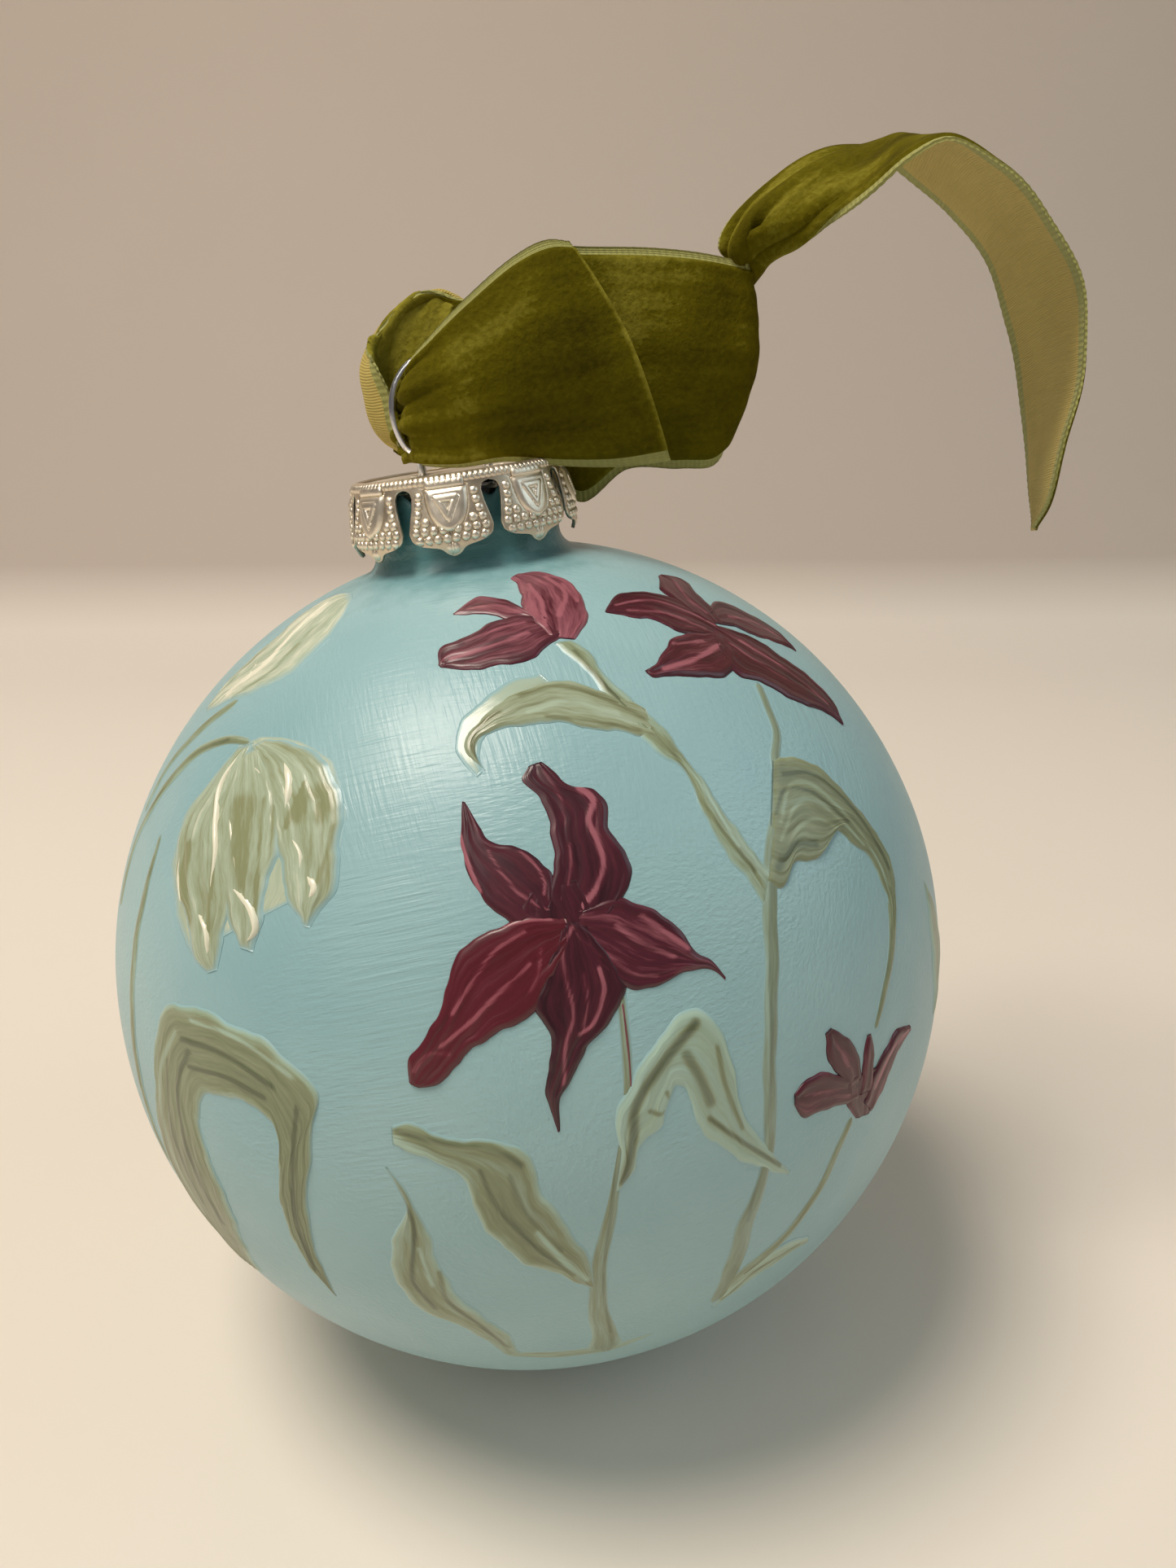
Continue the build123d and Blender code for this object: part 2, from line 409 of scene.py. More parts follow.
def make_coat(material):
    """The ground coat: brushed outside, smooth on the glass, with a ragged edge round the neck."""
    around = 360
    outer = coat_profile(RADIUS, NECK, COAT_TOP, 190)
    inner = coat_profile(GLASS_RADIUS + GLASS_GAP, NECK - NECK_PAINT, COAT_TOP, 48)[::-1]
    profile = np.concatenate([outer, inner])
    rows = len(profile)
    angle = np.linspace(0, 2 * math.pi, around, endpoint=False)[None, :]
    r, z = profile[:, :1], profile[:, 1:]
    stem = np.clip((z - RAGGED_FROM) / (COAT_TOP - RAGGED_FROM), 0, 1)
    ragged = 0.5 * np.sin(5 * angle + 1.0) + 0.35 * np.sin(11 * angle) + 0.25 * np.sin(23 * angle + 2.0)
    z = z + stem * (ragged - 0.4)
    lobes = np.sin(3 * angle + 0.11 * z) * np.sin(0.21 * z + 1.3) + 0.6 * np.sin(7 * angle - 0.3 * z)
    skin = (np.arange(rows) < len(outer))[:, None] * np.clip(r / 12, 0, 1)
    r = r + 0.02 * lobes * skin
    points = np.stack([r * np.cos(angle), r * np.sin(angle), z + CENTRE + 0 * angle], axis=-1)
    return add_mesh("painted_coat", points.reshape(-1, 3), grid_faces(rows, around, around=True), [material])


# ---------------------------------------------------------------- the crown cap

LOBES = 8
LOBE_TURN = math.radians(353.0 - 90.0)  # the first lobe's direction
PITCH = 2 * math.pi / LOBES  # from lobe to lobe
DROP = 6.4  # from the plate to the tips of the lobes
SHEET_METAL = 0.28  # thickness
BEAD_PITCH, BEAD = 0.78, 0.22  # from bead to bead, and a bead's radius
RIM_BEADS, RIM_BEAD = 124, 0.13  # beads round the plate's edge, and their height
SLOT_OUT, SLOT_LONG, SLOT_WIDE = 3.45, 1.15, 0.7  # a slot's distance from the axis and half sizes
# half the gap between two lobes, at depths below the plate
GAP_DEPTH = [0.0, 0.78, 0.86, 1.05, 1.5, 2.4, 3.4, 4.3, 4.9, 5.2, 5.4, 5.52, 5.62, 5.8, 6.1, 6.4]
GAP_HALF = [0.0, 0.0, 0.4, 0.66, 0.8, 0.72, 0.5, 0.33, 0.5, 0.85, 1.35, 2.0, 2.6, 2.95, 3.2, 3.6]
# the skirt's radius at depths below the plate
SKIRT_DEPTH = [0.0, 0.08, 0.3, 0.7, 2.2, 4.2, 5.4, 6.4]
SKIRT_RADIUS = [8.6, 8.95, 9.18, 9.28, 9.6, 9.95, 9.95, 9.7]


def lobe_half(depth):
    """Half width of a lobe at a depth below the plate."""
    radius = np.interp(depth, SKIRT_DEPTH, SKIRT_RADIUS)
    return radius * PITCH / 2 - np.interp(depth, GAP_DEPTH, GAP_HALF)


def boss_half(depth):
    """Half width of the smooth shield in the middle of a lobe."""
    return 1.66 * np.sqrt(np.clip(1 - (np.clip(depth - 0.8, 0, None) / 3.45) ** 3, 0, 1))


def bead_places():
    """Centres (across, depth) of one lobe's beads: a row down each side, and a field below the shield."""
    beads = []
    for i in range(6):
        depth = 1.45 + 0.7 * i
        outermost = lobe_half(depth) - 0.62
        inner = boss_half(depth) + 0.34
        count = 1 if depth < 2.6 else int((outermost - inner * (depth < 4.3)) / BEAD_PITCH) + 1
        for k in range(count):
            across = outermost - BEAD_PITCH * k
            beads += [(across, depth), (-across, depth)]
    return beads


def lobe_relief(across, depth):
    """Stamped height of one lobe: shield, small hollow triangle, bar, beads and a bright nib."""
    inside = np.minimum(boss_half(depth) - np.abs(across), depth - 1.0)
    height = 0.24 * ramp(inside / 0.35) - 0.07 * ramp(1 - np.abs(inside + 0.1) / 0.12)
    triangle = np.minimum(0.5 * (3.7 - depth) - np.abs(across), depth - 1.5)
    height += 0.12 * ramp(triangle / 0.15) - 0.13 * ramp((triangle - 0.3) / 0.2)
    bar = np.minimum(0.24 - np.abs(depth - 0.62), 1.5 - np.abs(across))
    height += 0.2 * ramp(bar / 0.12)
    nib = 0.55 - np.hypot(across, (depth - 5.75) * 1.2)
    height += 0.16 * ramp(nib / 0.4)
    for a, d in bead_places():
        height += 0.2 * np.sqrt(np.clip(1 - ((across - a) ** 2 + (depth - d) ** 2) / BEAD**2, 0, 1))
    return height


def make_cap(material):
    """A stamped sheet: eight embossed lobes on one ring, and a plate with two slots for the hanger."""
    columns, rows = 79, 76
    depth = np.concatenate([np.linspace(0, 0.7, 12), np.linspace(0.7, DROP, rows - 11)[1:]])
    radius = through(np.array(SKIRT_RADIUS), SKIRT_DEPTH, depth)
    half = lobe_half(depth)
    share = np.linspace(-1, 1, columns)
    across = half[:, None] * share[None, :]
    drop = depth[:, None] + 0 * across
    shape = lobe_relief(across, drop)
    points, faces, relief = [], [], []
    for lobe in range(LOBES):
        angle = LOBE_TURN + PITCH * lobe + across / radius[:, None]
        rim_bead = RIM_BEAD * np.abs(np.sin(angle * RIM_BEADS / 2)) * ramp(1 - np.abs(drop - 0.32) / 0.26)
        r = radius[:, None] + shape + rim_bead
        z = PLATE - drop + rim_bead * 0.6
        faces += grid_faces(rows, columns, first=len(points) * rows * columns)
        points.append(np.stack([r * np.cos(angle), r * np.sin(angle), z], axis=-1).reshape(-1, 3))
        # stamped height, which the metal turns into painted highlight on high points and painted shade in
        # hollows
        relief.append(((shape + rim_bead) / 0.26).ravel())
    values = {"relief": np.concatenate(relief)}
    skirt = add_mesh("crown_cap_shell", np.concatenate(points), faces, [material], values)
    plate = cap_plate(material, [p[:columns - 1] for p in points])
    return join(skirt, plate)


def cap_plate(material, first_rows):
    """The flat top: a disc inside the skirt's first row, with a slot for each leg of the hanger."""
    loops = [np.concatenate(first_rows)[:, :2]]
    turns = np.linspace(0, 2 * math.pi, 40, endpoint=False)
    x, y = (np.sign(v) * np.abs(v) ** 0.5 for v in (np.cos(turns), np.sin(turns)))
    for side in (-1, 1):
        loops.append(np.stack([side * SLOT_OUT + SLOT_LONG * x, SLOT_WIDE * y], axis=1))
    turns = np.linspace(0, 2 * math.pi, 96, endpoint=False)
    for ring in (6.4, 7.6):
        loops.append(np.stack([ring * np.cos(turns), ring * np.sin(turns)], axis=1))
    flat = [Vector(p) for loop in loops for p in loop]
    edges, start = [], 0
    for loop in loops:
        n = len(loop)
        edges += [(start + i, start + (i + 1) % n) for i in range(n)]
        start += n
    made = delaunay_2d_cdt(flat, edges, [], 0, 1e-5)
    spots = np.array([(p.x, p.y) for p in made[0]])
    kept = [list(face) for face in made[2] if not in_slot(*spots[list(face)].mean(axis=0))]
    points = np.column_stack([spots, np.full(len(spots), PLATE)])
    # the flat plate gets a middle share of the painted highlight
    return add_mesh("cap_plate", points, kept, [material], {"relief": np.full(len(points), 0.55)})


def in_slot(x, y):
    return ((abs(x) - SLOT_OUT) / SLOT_LONG) ** 4 + (y / SLOT_WIDE) ** 4 < 1


def select(*objects):
    """Selects these objects alone, the last one active."""
    bpy.ops.object.select_all(action="DESELECT")
    for obj in objects:
        obj.select_set(True)
    bpy.context.view_layer.objects.active = objects[-1]


def join(first, second):
    """Two meshes as one object, with their touching edges welded."""
    select(second, first)
    bpy.ops.object.join()
    weld = first.modifiers.new("weld", "WELD")
    weld.merge_threshold = 0.03 * MM
    thick = first.modifiers.new("thickness", "SOLIDIFY")
    thick.thickness, thick.offset = SHEET_METAL * MM, -1
    return first


def freeze(obj):
    """Applies an object's modifiers."""
    select(obj)
    for modifier in list(obj.modifiers):
        bpy.ops.object.modifier_apply(modifier=modifier.name)
    obj.data.polygons.foreach_set("use_smooth", [True] * len(obj.data.polygons))
    return obj


# ---------------------------------------------------------------- the velvet ribbon

RIBBON_WIDTH = 22.0
PILE, WOVEN, SATIN = 0, 1, 2  # the cloth that a face of the mesh shows
# from the middle of the cloth to the tips of the pile, the selvage's face and the woven back
PILE_UP, SELVAGE_UP, BACK_DOWN = 0.42, 0.12, 0.14
# Rows across the ribbon, from the cut end at the front to the tip of the tail. Each row has five
# points from one edge to the other, (x, y, height above the cap), then pleats: their depth.
RIBBON_ROWS = [
    # the front panel, from its slanting cut end to the wire
    ([(12.4, -4.2, 16.9), (14.3, -4.9, 13.4), (16.2, -5.2, 9), (17.6, -5.1, 4), (18.8, -4.6, -1.7)], 0),
    ([(10.6, -4.1, 17.2), (12, -5.1, 13), (13.2, -5.5, 8.5), (14.2, -5.4, 3.2), (14.8, -4.9, -1.6)], 0),
    ([(7.6, -4, 16.3), (8.2, -5.2, 12.4), (8.9, -5.7, 8), (9.5, -5.5, 3), (10, -5, -0.9)], 0),
    ([(3.4, -3.9, 13.8), (3.9, -5, 10.4), (4.1, -5.6, 7), (4.2, -5.5, 3.1), (4.4, -5, 0.3)], 0),
    ([(0, -3.6, 11.4), (0.1, -4.4, 8.7), (0, -4.9, 6.1), (0, -4.8, 2.9), (0.2, -4.4, 0.4)], 0.08),
    ([(-2.4, -2.4, 9.4), (-2.8, -3, 7.6), (-3.3, -3.2, 5.5), (-3.3, -3.1, 3.3), (-2.8, -2.8, 1)], 0.2),
    # through the eye
    ([(-2.1, 0, 8.3), (-2.9, 0, 7), (-3.4, 0, 5.4), (-3.2, 0, 3.6), (-2.5, 0, 1.6)], 0.7),
    # the side loop: the outer edge curls forward and shows the back of the cloth
    ([(-1.7, 1.9, 9.2), (-3.4, 2.6, 7.4), (-4.6, 2.7, 5), (-4.9, 1.9, 2.8), (-4, 1.4, 1.3)], 0.35),
    ([(0.2, 2.6, 10.4), (-2.4, 3.8, 9.6), (-5.2, 3.9, 7.2), (-6.4, 2.3, 4.6), (-4.7, 1.2, 3.8)], 0.2),
    ([(1.5, 2.6, 11.4), (-1.4, 4, 11.5), (-5, 4.1, 10), (-6.8, 2.5, 7.2), (-4.6, 1.2, 7)], 0.1),
    ([(2.2, 2.6, 12.4), (-0.2, 4, 13.4), (-3.8, 4.3, 12.6), (-6.6, 3.2, 10.2), (-5.4, 1.3, 9.6)], 0.1),
    ([(2.4, 2.8, 13.3), (1.2, 4, 14.7), (-1.2, 4.4, 14.8), (-3.8, 4.2, 13.6), (-6, 3.2, 11.4)], 0.15),
    ([(3.2, 2.8, 12), (2.8, 3.8, 13.6), (2, 4.2, 14.6), (0.8, 4.2, 15.2), (-0.8, 3.8, 15.3)], 0.25),
    ([(4.6, 2.2, 9), (4.4, 2.9, 10.8), (4.2, 3.2, 12.2), (3.9, 3.1, 13.2), (3.4, 2.7, 14)], 0.6),
    # the back panel
    ([(7.2, 1.4, 3.4), (6.9, 2, 6.8), (6.8, 2, 10), (6.7, 1.8, 13), (6.6, 1.4, 15.7)], 0.25),
    ([(10.9, 3.2, -4.5), (10.9, 1.4, 2), (10.4, 0.9, 7.8), (10, 0.9, 12.9), (9.8, 0.9, 17.4)], 0.1),
    ([(15.7, 1.2, -2.2), (15.5, 0.4, 2.6), (15.3, 0.2, 7.8), (15.2, 0.5, 12.6), (15, 0.9, 16.9)], 0),
    ([(20.6, 0.8, -2.8), (20.8, 0.1, 2.2), (20.8, -0.1, 7.4), (20.7, 0.3, 11.8), (20.5, 0.9, 16.1)], 0),
    ([(24, 1, -2.8), (25.3, 0.3, 1.8), (26, 0.1, 6.8), (25.9, 0.4, 11), (25.7, 1, 14.9)], 0.03),
    ([(25.2, 2.2, -0.9), (27.6, 1.5, 2.8), (28.7, 1.3, 6.6), (28.9, 1.3, 10.4), (28.8, 1.5, 13.9)], 0.05),
    ([(25.4, 3.8, 2.4), (27, 4, 5.2), (27.8, 3.9, 8.4), (28.2, 3.4, 11.2), (28.5, 2.5, 14)], 0.25),
    ([(27.4, 4.4, 10.2), (28.2, 4.6, 11.4), (28.1, 3.8, 12.4), (28.3, 3.4, 13.4), (28, 2.6, 14.6)], 0.6),
    # the tail: pinched, rising, turning over and curling down to its tip
    ([(29.9, 2.2, 13.9), (29, 1, 14.3), (28.5, 2.4, 14.8), (27.7, 1.2, 15.2), (26.9, 3, 15.8)], 0.7),
    ([(32.6, -1.6, 14.4), (31.9, -2.6, 15.8), (31, -0.6, 16.9), (30.2, 1.6, 18), (29.6, 4.6, 18.9)], 0.4),
    ([(34.9, -4.2, 15.6), (35, -3.4, 17.4), (35.1, -0.4, 19.1), (35.4, 3.4, 20.8), (35.6, 7.6, 22.4)], 0.25),
    ([(37.6, -7.2, 17.3), (39, -3.8, 19.1), (40.3, 0.4, 20.9), (41.2, 4.8, 22.4), (41.6, 9, 23.2)], 0.12),
    ([(39.9, -9.6, 18.8), (41.6, -5, 20.5), (43.3, 0.2, 22), (44.7, 5.4, 22.5), (45.5, 10, 21.8)], 0.04),
    ([(42.5, -10.6, 19.7), (44.3, -5.4, 20.6), (45.8, 0, 20.8), (47.3, 5.4, 20.4), (48.3, 10.4, 19.6)], 0),
    ([(46.7, -11, 17.3), (48, -5.6, 17.8), (49.3, 0, 17.8), (50.6, 5.6, 17.4), (51.9, 10.9, 16.7)], 0),
    ([(50.7, -11, 13), (52, -5.6, 13.2), (53.3, 0, 12.9), (54.5, 5.6, 12.3), (55.7, 10.9, 11.5)], 0),
    ([(53.5, -11, 7.6), (54.7, -5.6, 7.5), (55.8, 0, 7), (56.8, 5.6, 6.2), (57.7, 10.9, 5.2)], 0),
    ([(53.6, -11, 1.6), (55.1, -5.6, 1.2), (56.7, 0, 0.6), (57.9, 5.6, -0.3), (58.9, 10.9, -1.4)], 0),
    ([(51.9, -10.8, -4.5), (53.9, -5.4, -5.2), (55.8, 0, -6), (57.6, 5.4, -7), (59.1, 10.3, -8.2)], 0),
    ([(51.6, -8.6, -9.4), (53.2, -4.6, -10.1), (54.9, -0.2, -10.7), (56.8, 4.4, -11.4), (58.3, 8, -12.1)], 0),
    ([(53.2, -2.6, -12.9), (53.8, -1.2, -13.1), (54.5, 0.2, -13.4), (55.2, 1.6, -13.7), (55.8, 3, -14)], 0),
]
ROWS_ALONG, COLUMNS_ACROSS = 560, 76
SELVAGE_WIDTH, SELVAGE_SHOWN = 1.7, 0.75  # on the woven back, and beside the pile
# painted highlight: the side loop's pile, and the loose pile along the front end's cut, are made paler where
# they catch light
LOOP_START, LOOP_END, LOOP_HIGHLIGHT = 26.0, 42.0, 0.5  # where the side loop's pile catches light, how much
FRAY, FRAY_HIGHLIGHT = 0.55, 0.6  # width of the loose pile at the front end's cut, and how much paler it is


def ribbon_surface():
    """The middle of the cloth as a grid of points, with its pleats and soft dents."""
    rows = np.array([row for row, _ in RIBBON_ROWS])
    pleat = np.array([depth for _, depth in RIBBON_ROWS])
    step = np.linalg.norm(np.diff(rows, axis=0), axis=2).mean(axis=1)
    knots = np.concatenate([[0], np.cumsum(step)])
    along = np.linspace(0, knots[-1], ROWS_ALONG)
    cage = through(rows, knots, along)
    u = np.linspace(0, 1, COLUMNS_ACROSS)
    points = through(cage.transpose(1, 0, 2), np.linspace(0, 1, 5), u).transpose(1, 0, 2)
    normal = surface_normal(points)
    depth = np.interp(along, knots, pleat)[:, None]
    wave = np.sin(2 * math.pi * (3.1 * u[None, :] + 0.012 * along[:, None]) + 0.6)
    wave = wave + 0.4 * np.sin(2 * math.pi * (6.7 * u[None, :] - 0.02 * along[:, None]) + 2.0)
    dents = np.sin(0.42 * along[:, None] + 5 * u[None, :])
    dents = dents * np.sin(0.23 * along[:, None] - 7 * u[None, :] + 1)
    selvage = ramp((np.minimum(u, 1 - u) * RIBBON_WIDTH)[None, :] / 1.2)
    shift = depth * wave * selvage + 0.12 * dents + 0.03 * np.sin(7.3 * along[:, None]) * (1 - selvage)
    return points + normal * shift[..., None], along, u


def surface_normal(points):
    d_along = np.gradient(points, axis=0)
    d_across = np.gradient(points, axis=1)
    normal = np.cross(d_along, d_across)
    return normal / np.maximum(np.linalg.norm(normal, axis=2, keepdims=True), 1e-9)


def make_ribbon(velvet, backing, selvage):
    """One closed strip: pile face, woven back, and a satin selvage along both edges."""
    middle, along, u = ribbon_surface()
    normal = surface_normal(middle)
    edge = np.minimum(u, 1 - u) * RIBBON_WIDTH
    pile = SELVAGE_UP + (PILE_UP - SELVAGE_UP) * ramp((edge - SELVAGE_SHOWN) / 0.5)
    face = middle + normal * pile[None, :, None]
    back = middle - normal * BACK_DOWN
    rows, columns = middle.shape[:2]
    size = rows * columns
    points = np.concatenate([face.reshape(-1, 3), back.reshape(-1, 3)])
    points[:, 2] += PLATE
    quads = grid_faces(rows, columns)
    across = (np.arange(columns - 1) + 0.5) / (columns - 1)
    from_edge = np.minimum(across, 1 - across) * RIBBON_WIDTH
    face_kind = np.where(from_edge < SELVAGE_SHOWN, SATIN, PILE)
    back_kind = np.where(from_edge < SELVAGE_WIDTH, SATIN, WOVEN)
    faces = quads + [[size + i for i in q[::-1]] for q in quads]
    kinds = np.concatenate([np.tile(face_kind, rows - 1), np.tile(back_kind, rows - 1)]).tolist()
    sides = [(j, columns, rows - 1, j > 0, SATIN) for j in (0, columns - 1)]
    ends = [(i * columns, 1, columns - 1, i == 0, WOVEN) for i in (0, rows - 1)]
    for start, step, count, forward, kind in sides + ends:
        for a in range(start, start + step * count, step):
            b = a + step
            faces.append([a, b, size + b, size + a] if forward else [b, a, size + a, size + b])
            kinds.append(kind)
    flat = np.stack(np.meshgrid(u * RIBBON_WIDTH, along), axis=-1).reshape(-1, 2) * UV_SCALE
    # painted highlight on the side loop, and on the cut end where the loose pile catches light
    highlight_and_fray = LOOP_HIGHLIGHT * ramp((along - LOOP_START) / 3) * ramp((LOOP_END - along) / 3)
    highlight_and_fray += FRAY_HIGHLIGHT * (1 - ramp(along / FRAY))
    pile_light_and_fray = {"pile_light_and_fray": np.tile(np.repeat(highlight_and_fray, columns), 2)}
    cloths = [velvet, backing, selvage]
    return add_mesh("velvet_ribbon", points, faces, cloths, pile_light_and_fray, np.tile(flat, (2, 1)), kinds)


# ---------------------------------------------------------------- painting on the ball


class Map:
    """A flat map on the ball, centred at a turn (0 is the front, right is positive) and a rise in degrees."""

    def __init__(self, turn=0.0, rise=25.0, spin=0.0, mirror=False):
        t, r = math.radians(turn), math.radians(rise)
        self.out = np.array([math.sin(t) * math.cos(r), -math.cos(t) * math.cos(r), math.sin(r)])
        self.right = np.array([math.cos(t), math.sin(t), 0.0])
        self.up = np.array([-math.sin(t) * math.sin(r), math.cos(t) * math.sin(r), math.cos(r)])
        self.spin, self.mirror = math.radians(spin), mirror

    def place(self, uv, lift):
        """Points in millimetres for map points uv, raised by lift above the coat."""
        u, v = uv[..., 0] * (-1 if self.mirror else 1), uv[..., 1]
        cos, sin = math.cos(self.spin), math.sin(self.spin)
        u, v = u * cos - v * sin, u * sin + v * cos
        reach = np.maximum(np.hypot(u, v), 1e-9)
        bend = reach / RADIUS
        side = (u / reach)[..., None] * self.right + (v / reach)[..., None] * self.up
        way = np.cos(bend)[..., None] * self.out + np.sin(bend)[..., None] * side
        return way * (RADIUS + lift)[..., None] + np.array([0, 0, CENTRE])


PALE_RIM = 0.45  # how much paler a broad leaf turns towards its edge
ROW_STEP, COLUMN_STEP = 0.22, 0.17  # size of a stroke's faces, along and across it
LAYER, SUNK = 0.025, 0.03  # how far each layer lies above the last, and how far a stroke's edge is sunk


class Painted:
    """One painted piece, made of strokes. Each stroke is a closed skin, a little proud of the coat."""

    def __init__(self, material, chart, seed):
        self.material, self.chart = material, chart
        self.random = random.Random(seed)
        self.points, self.faces, self.uv = [], [], []
        self.values = {"tone": [], "cover": [], "warm": [], "grain": []}
        self.count = 0  # vertices so far
        self.pale_rim = PALE_RIM if material.name == "leaf_paint" else 0.0

    def shape(self, left, right, **look):
        """A stroke between two edges drawn from tip to base."""
        length = max(run_of(np.array(left, float))[-1], run_of(np.array(right, float))[-1])
        rows = int(np.clip(length / ROW_STEP, 14, 190))
        a, b = evenly(left, rows), evenly(right, rows)
        across = b - a
        gap = np.linalg.norm(across, axis=1, keepdims=True)
        across = across / np.maximum(gap, 1e-6) * ramp(gap / 2.5)
        run = run_of((a + b) / 2)
        a = a + across * self.wobble(run)[:, None]
        b = b + across * self.wobble(run)[:, None]
        self.strip(a, b, **look)

    def wobble(self, run):
        """An unsteady brush edge, in millimetres along a stroke."""
        shift = np.zeros_like(run)
        for length, size in ((4.9, 0.12), (2.3, 0.05), (1.2, 0.02)):
            shift += size * np.sin(2 * math.pi * run / length + self.random.uniform(0, 6))
        return shift

    def line(self, path, widths, thick=0.14, **look):
        """A stroke along a path, with its widths at even steps along it."""
        rows = int(np.clip(run_of(np.array(path, float))[-1] / ROW_STEP, 14, 260))
        middle = evenly(path, rows)
        way = np.gradient(middle, axis=0)
        way /= np.maximum(np.linalg.norm(way, axis=1, keepdims=True), 1e-9)
        half = np.interp(np.linspace(0, 1, rows), np.linspace(0, 1, len(widths)), widths) / 2
        run = run_of(middle)
        ends = np.minimum(run, run[-1] - run)
        half = half * np.sqrt(np.clip(ends / np.maximum(half, 0.05), 0.02, 1))
        wobble = 0.06 * np.sin(run * self.random.uniform(0.8, 1.3) + self.random.uniform(0, 6))
        across = np.stack([-way[:, 1], way[:, 0]], axis=1)
        a = middle + across * (half + wobble * half)[:, None]
        b = middle - across * (half - wobble * half)[:, None]
        self.strip(a, b, thick, **look)

    def strip(self, a, b, thick=0.17, layer=0, tone=0.4, marks=(), soft=0.0, warm=0.0, cover=1.0, grain=1.0):
        """Adds the closed skin between two edges. marks are (path, width, change of tone)."""
        rows = len(a)
        gap = np.linalg.norm(b - a, axis=1)
        columns = int(np.clip(gap.max() / COLUMN_STEP, 7, 64))
        s = np.linspace(0, 1, columns)
        s = 0.6 * s + 0.4 * (1 - np.cos(math.pi * s)) / 2
        uv = a[:, None] * (1 - s)[None, :, None] + b[:, None] * s[None, :, None]
        run = run_of((a + b) / 2)
        side = np.minimum(s, 1 - s)[None, :] * gap[:, None]
        end = np.minimum(run, run[-1] - run)[:, None]
        inset = np.minimum(side, end + 0.15)
        crisp = np.sqrt(1 - (1 - np.clip(inset / 0.55, 0, 1)) ** 2)
        body = ramp(inset / (0.5 + soft)) if soft else crisp
        c = s[None, :] * gap.max()
        ridge = np.zeros((rows, columns))
        for pitch, weight in ((0.45, 0.5), (0.9, 0.35), (1.9, 0.3)):
            drift = self.random.uniform(-0.05, 0.05) * run[:, None]
            swing = run[:, None] * self.random.uniform(0.15, 0.5) + self.random.uniform(0, 6)
            drift = drift + 0.25 * np.sin(swing)
            ridge += weight * np.sin(2 * math.pi * (c * pitch + drift) + self.random.uniform(0, 6))
        rim = np.exp(-(((side - 0.45) / 0.25) ** 2)) * ramp(gap / 1.6)[:, None]
        height = 0.62 + 0.24 * ridge + 0.3 * rim
        shade = float(tone) + 0.06 * ridge * grain
        if soft:
            shade = shade - self.pale_rim * (1 - ramp((inset - 0.1) / 1.1)) * ramp(gap / 5.0)[:, None]
        flat = uv.reshape(-1, 2)
        for path, width, change in marks:
            reach = distance_to(evenly(path, 6 * len(path)), flat).reshape(rows, columns)
            near = np.exp(-((reach / (0.5 * width)) ** 3))
            shade += change * near
            height += 0.12 * near * abs(change)
        lift = LAYER * layer * ramp(inset / 0.3) + thick * body * np.clip(height, 0.15, 1.6)
        lift = lift - SUNK * (inset <= 0)
        seen = cover * (ramp(inset / soft) if soft else np.ones_like(inset))
        for key, value in (("tone", shade), ("cover", seen), ("warm", warm), ("grain", grain)):
            self.values[key].append((value + 0.0 * ridge).ravel())
        self.points.append(self.chart.place(uv, lift).reshape(-1, 3))
        jump = self.random.uniform(0, 90)
        streaks = np.stack([c + 0 * ridge + jump, run[:, None] + 0 * ridge], axis=-1)
        self.uv.append(streaks.reshape(-1, 2) * UV_SCALE)
        self.add_faces(rows, columns)

    def add_faces(self, rows, columns):
        """A grid over one stroke, and the faces that close it underneath and at both ends."""
        n = self.count
        self.faces += grid_faces(rows, columns, first=n)
        last = n + (rows - 1) * columns
        for i in range(rows - 1):
            left = n + i * columns
            self.faces.append([left, left + columns, left + 2 * columns - 1, left + columns - 1])
        self.faces.append(list(range(n, n + columns)))
        self.faces.append(list(range(last, last + columns))[::-1])
        self.count += rows * columns

    def build(self, name):
        values = {key: np.concatenate(v) for key, v in self.values.items()}
        uv = np.concatenate(self.uv)
        made = add_mesh(name, np.concatenate(self.points), self.faces, [self.material], values, uv)
        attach(made, "ball")


def paint(recipe, name, material, chart, seed):
    """Paints one recipe's strokes on a map, as one piece."""
    p = Painted(material, chart, seed)
    recipe(p)
    p.build(name)


# The painting, flower by flower. Edges run from a stroke's tip to its base.


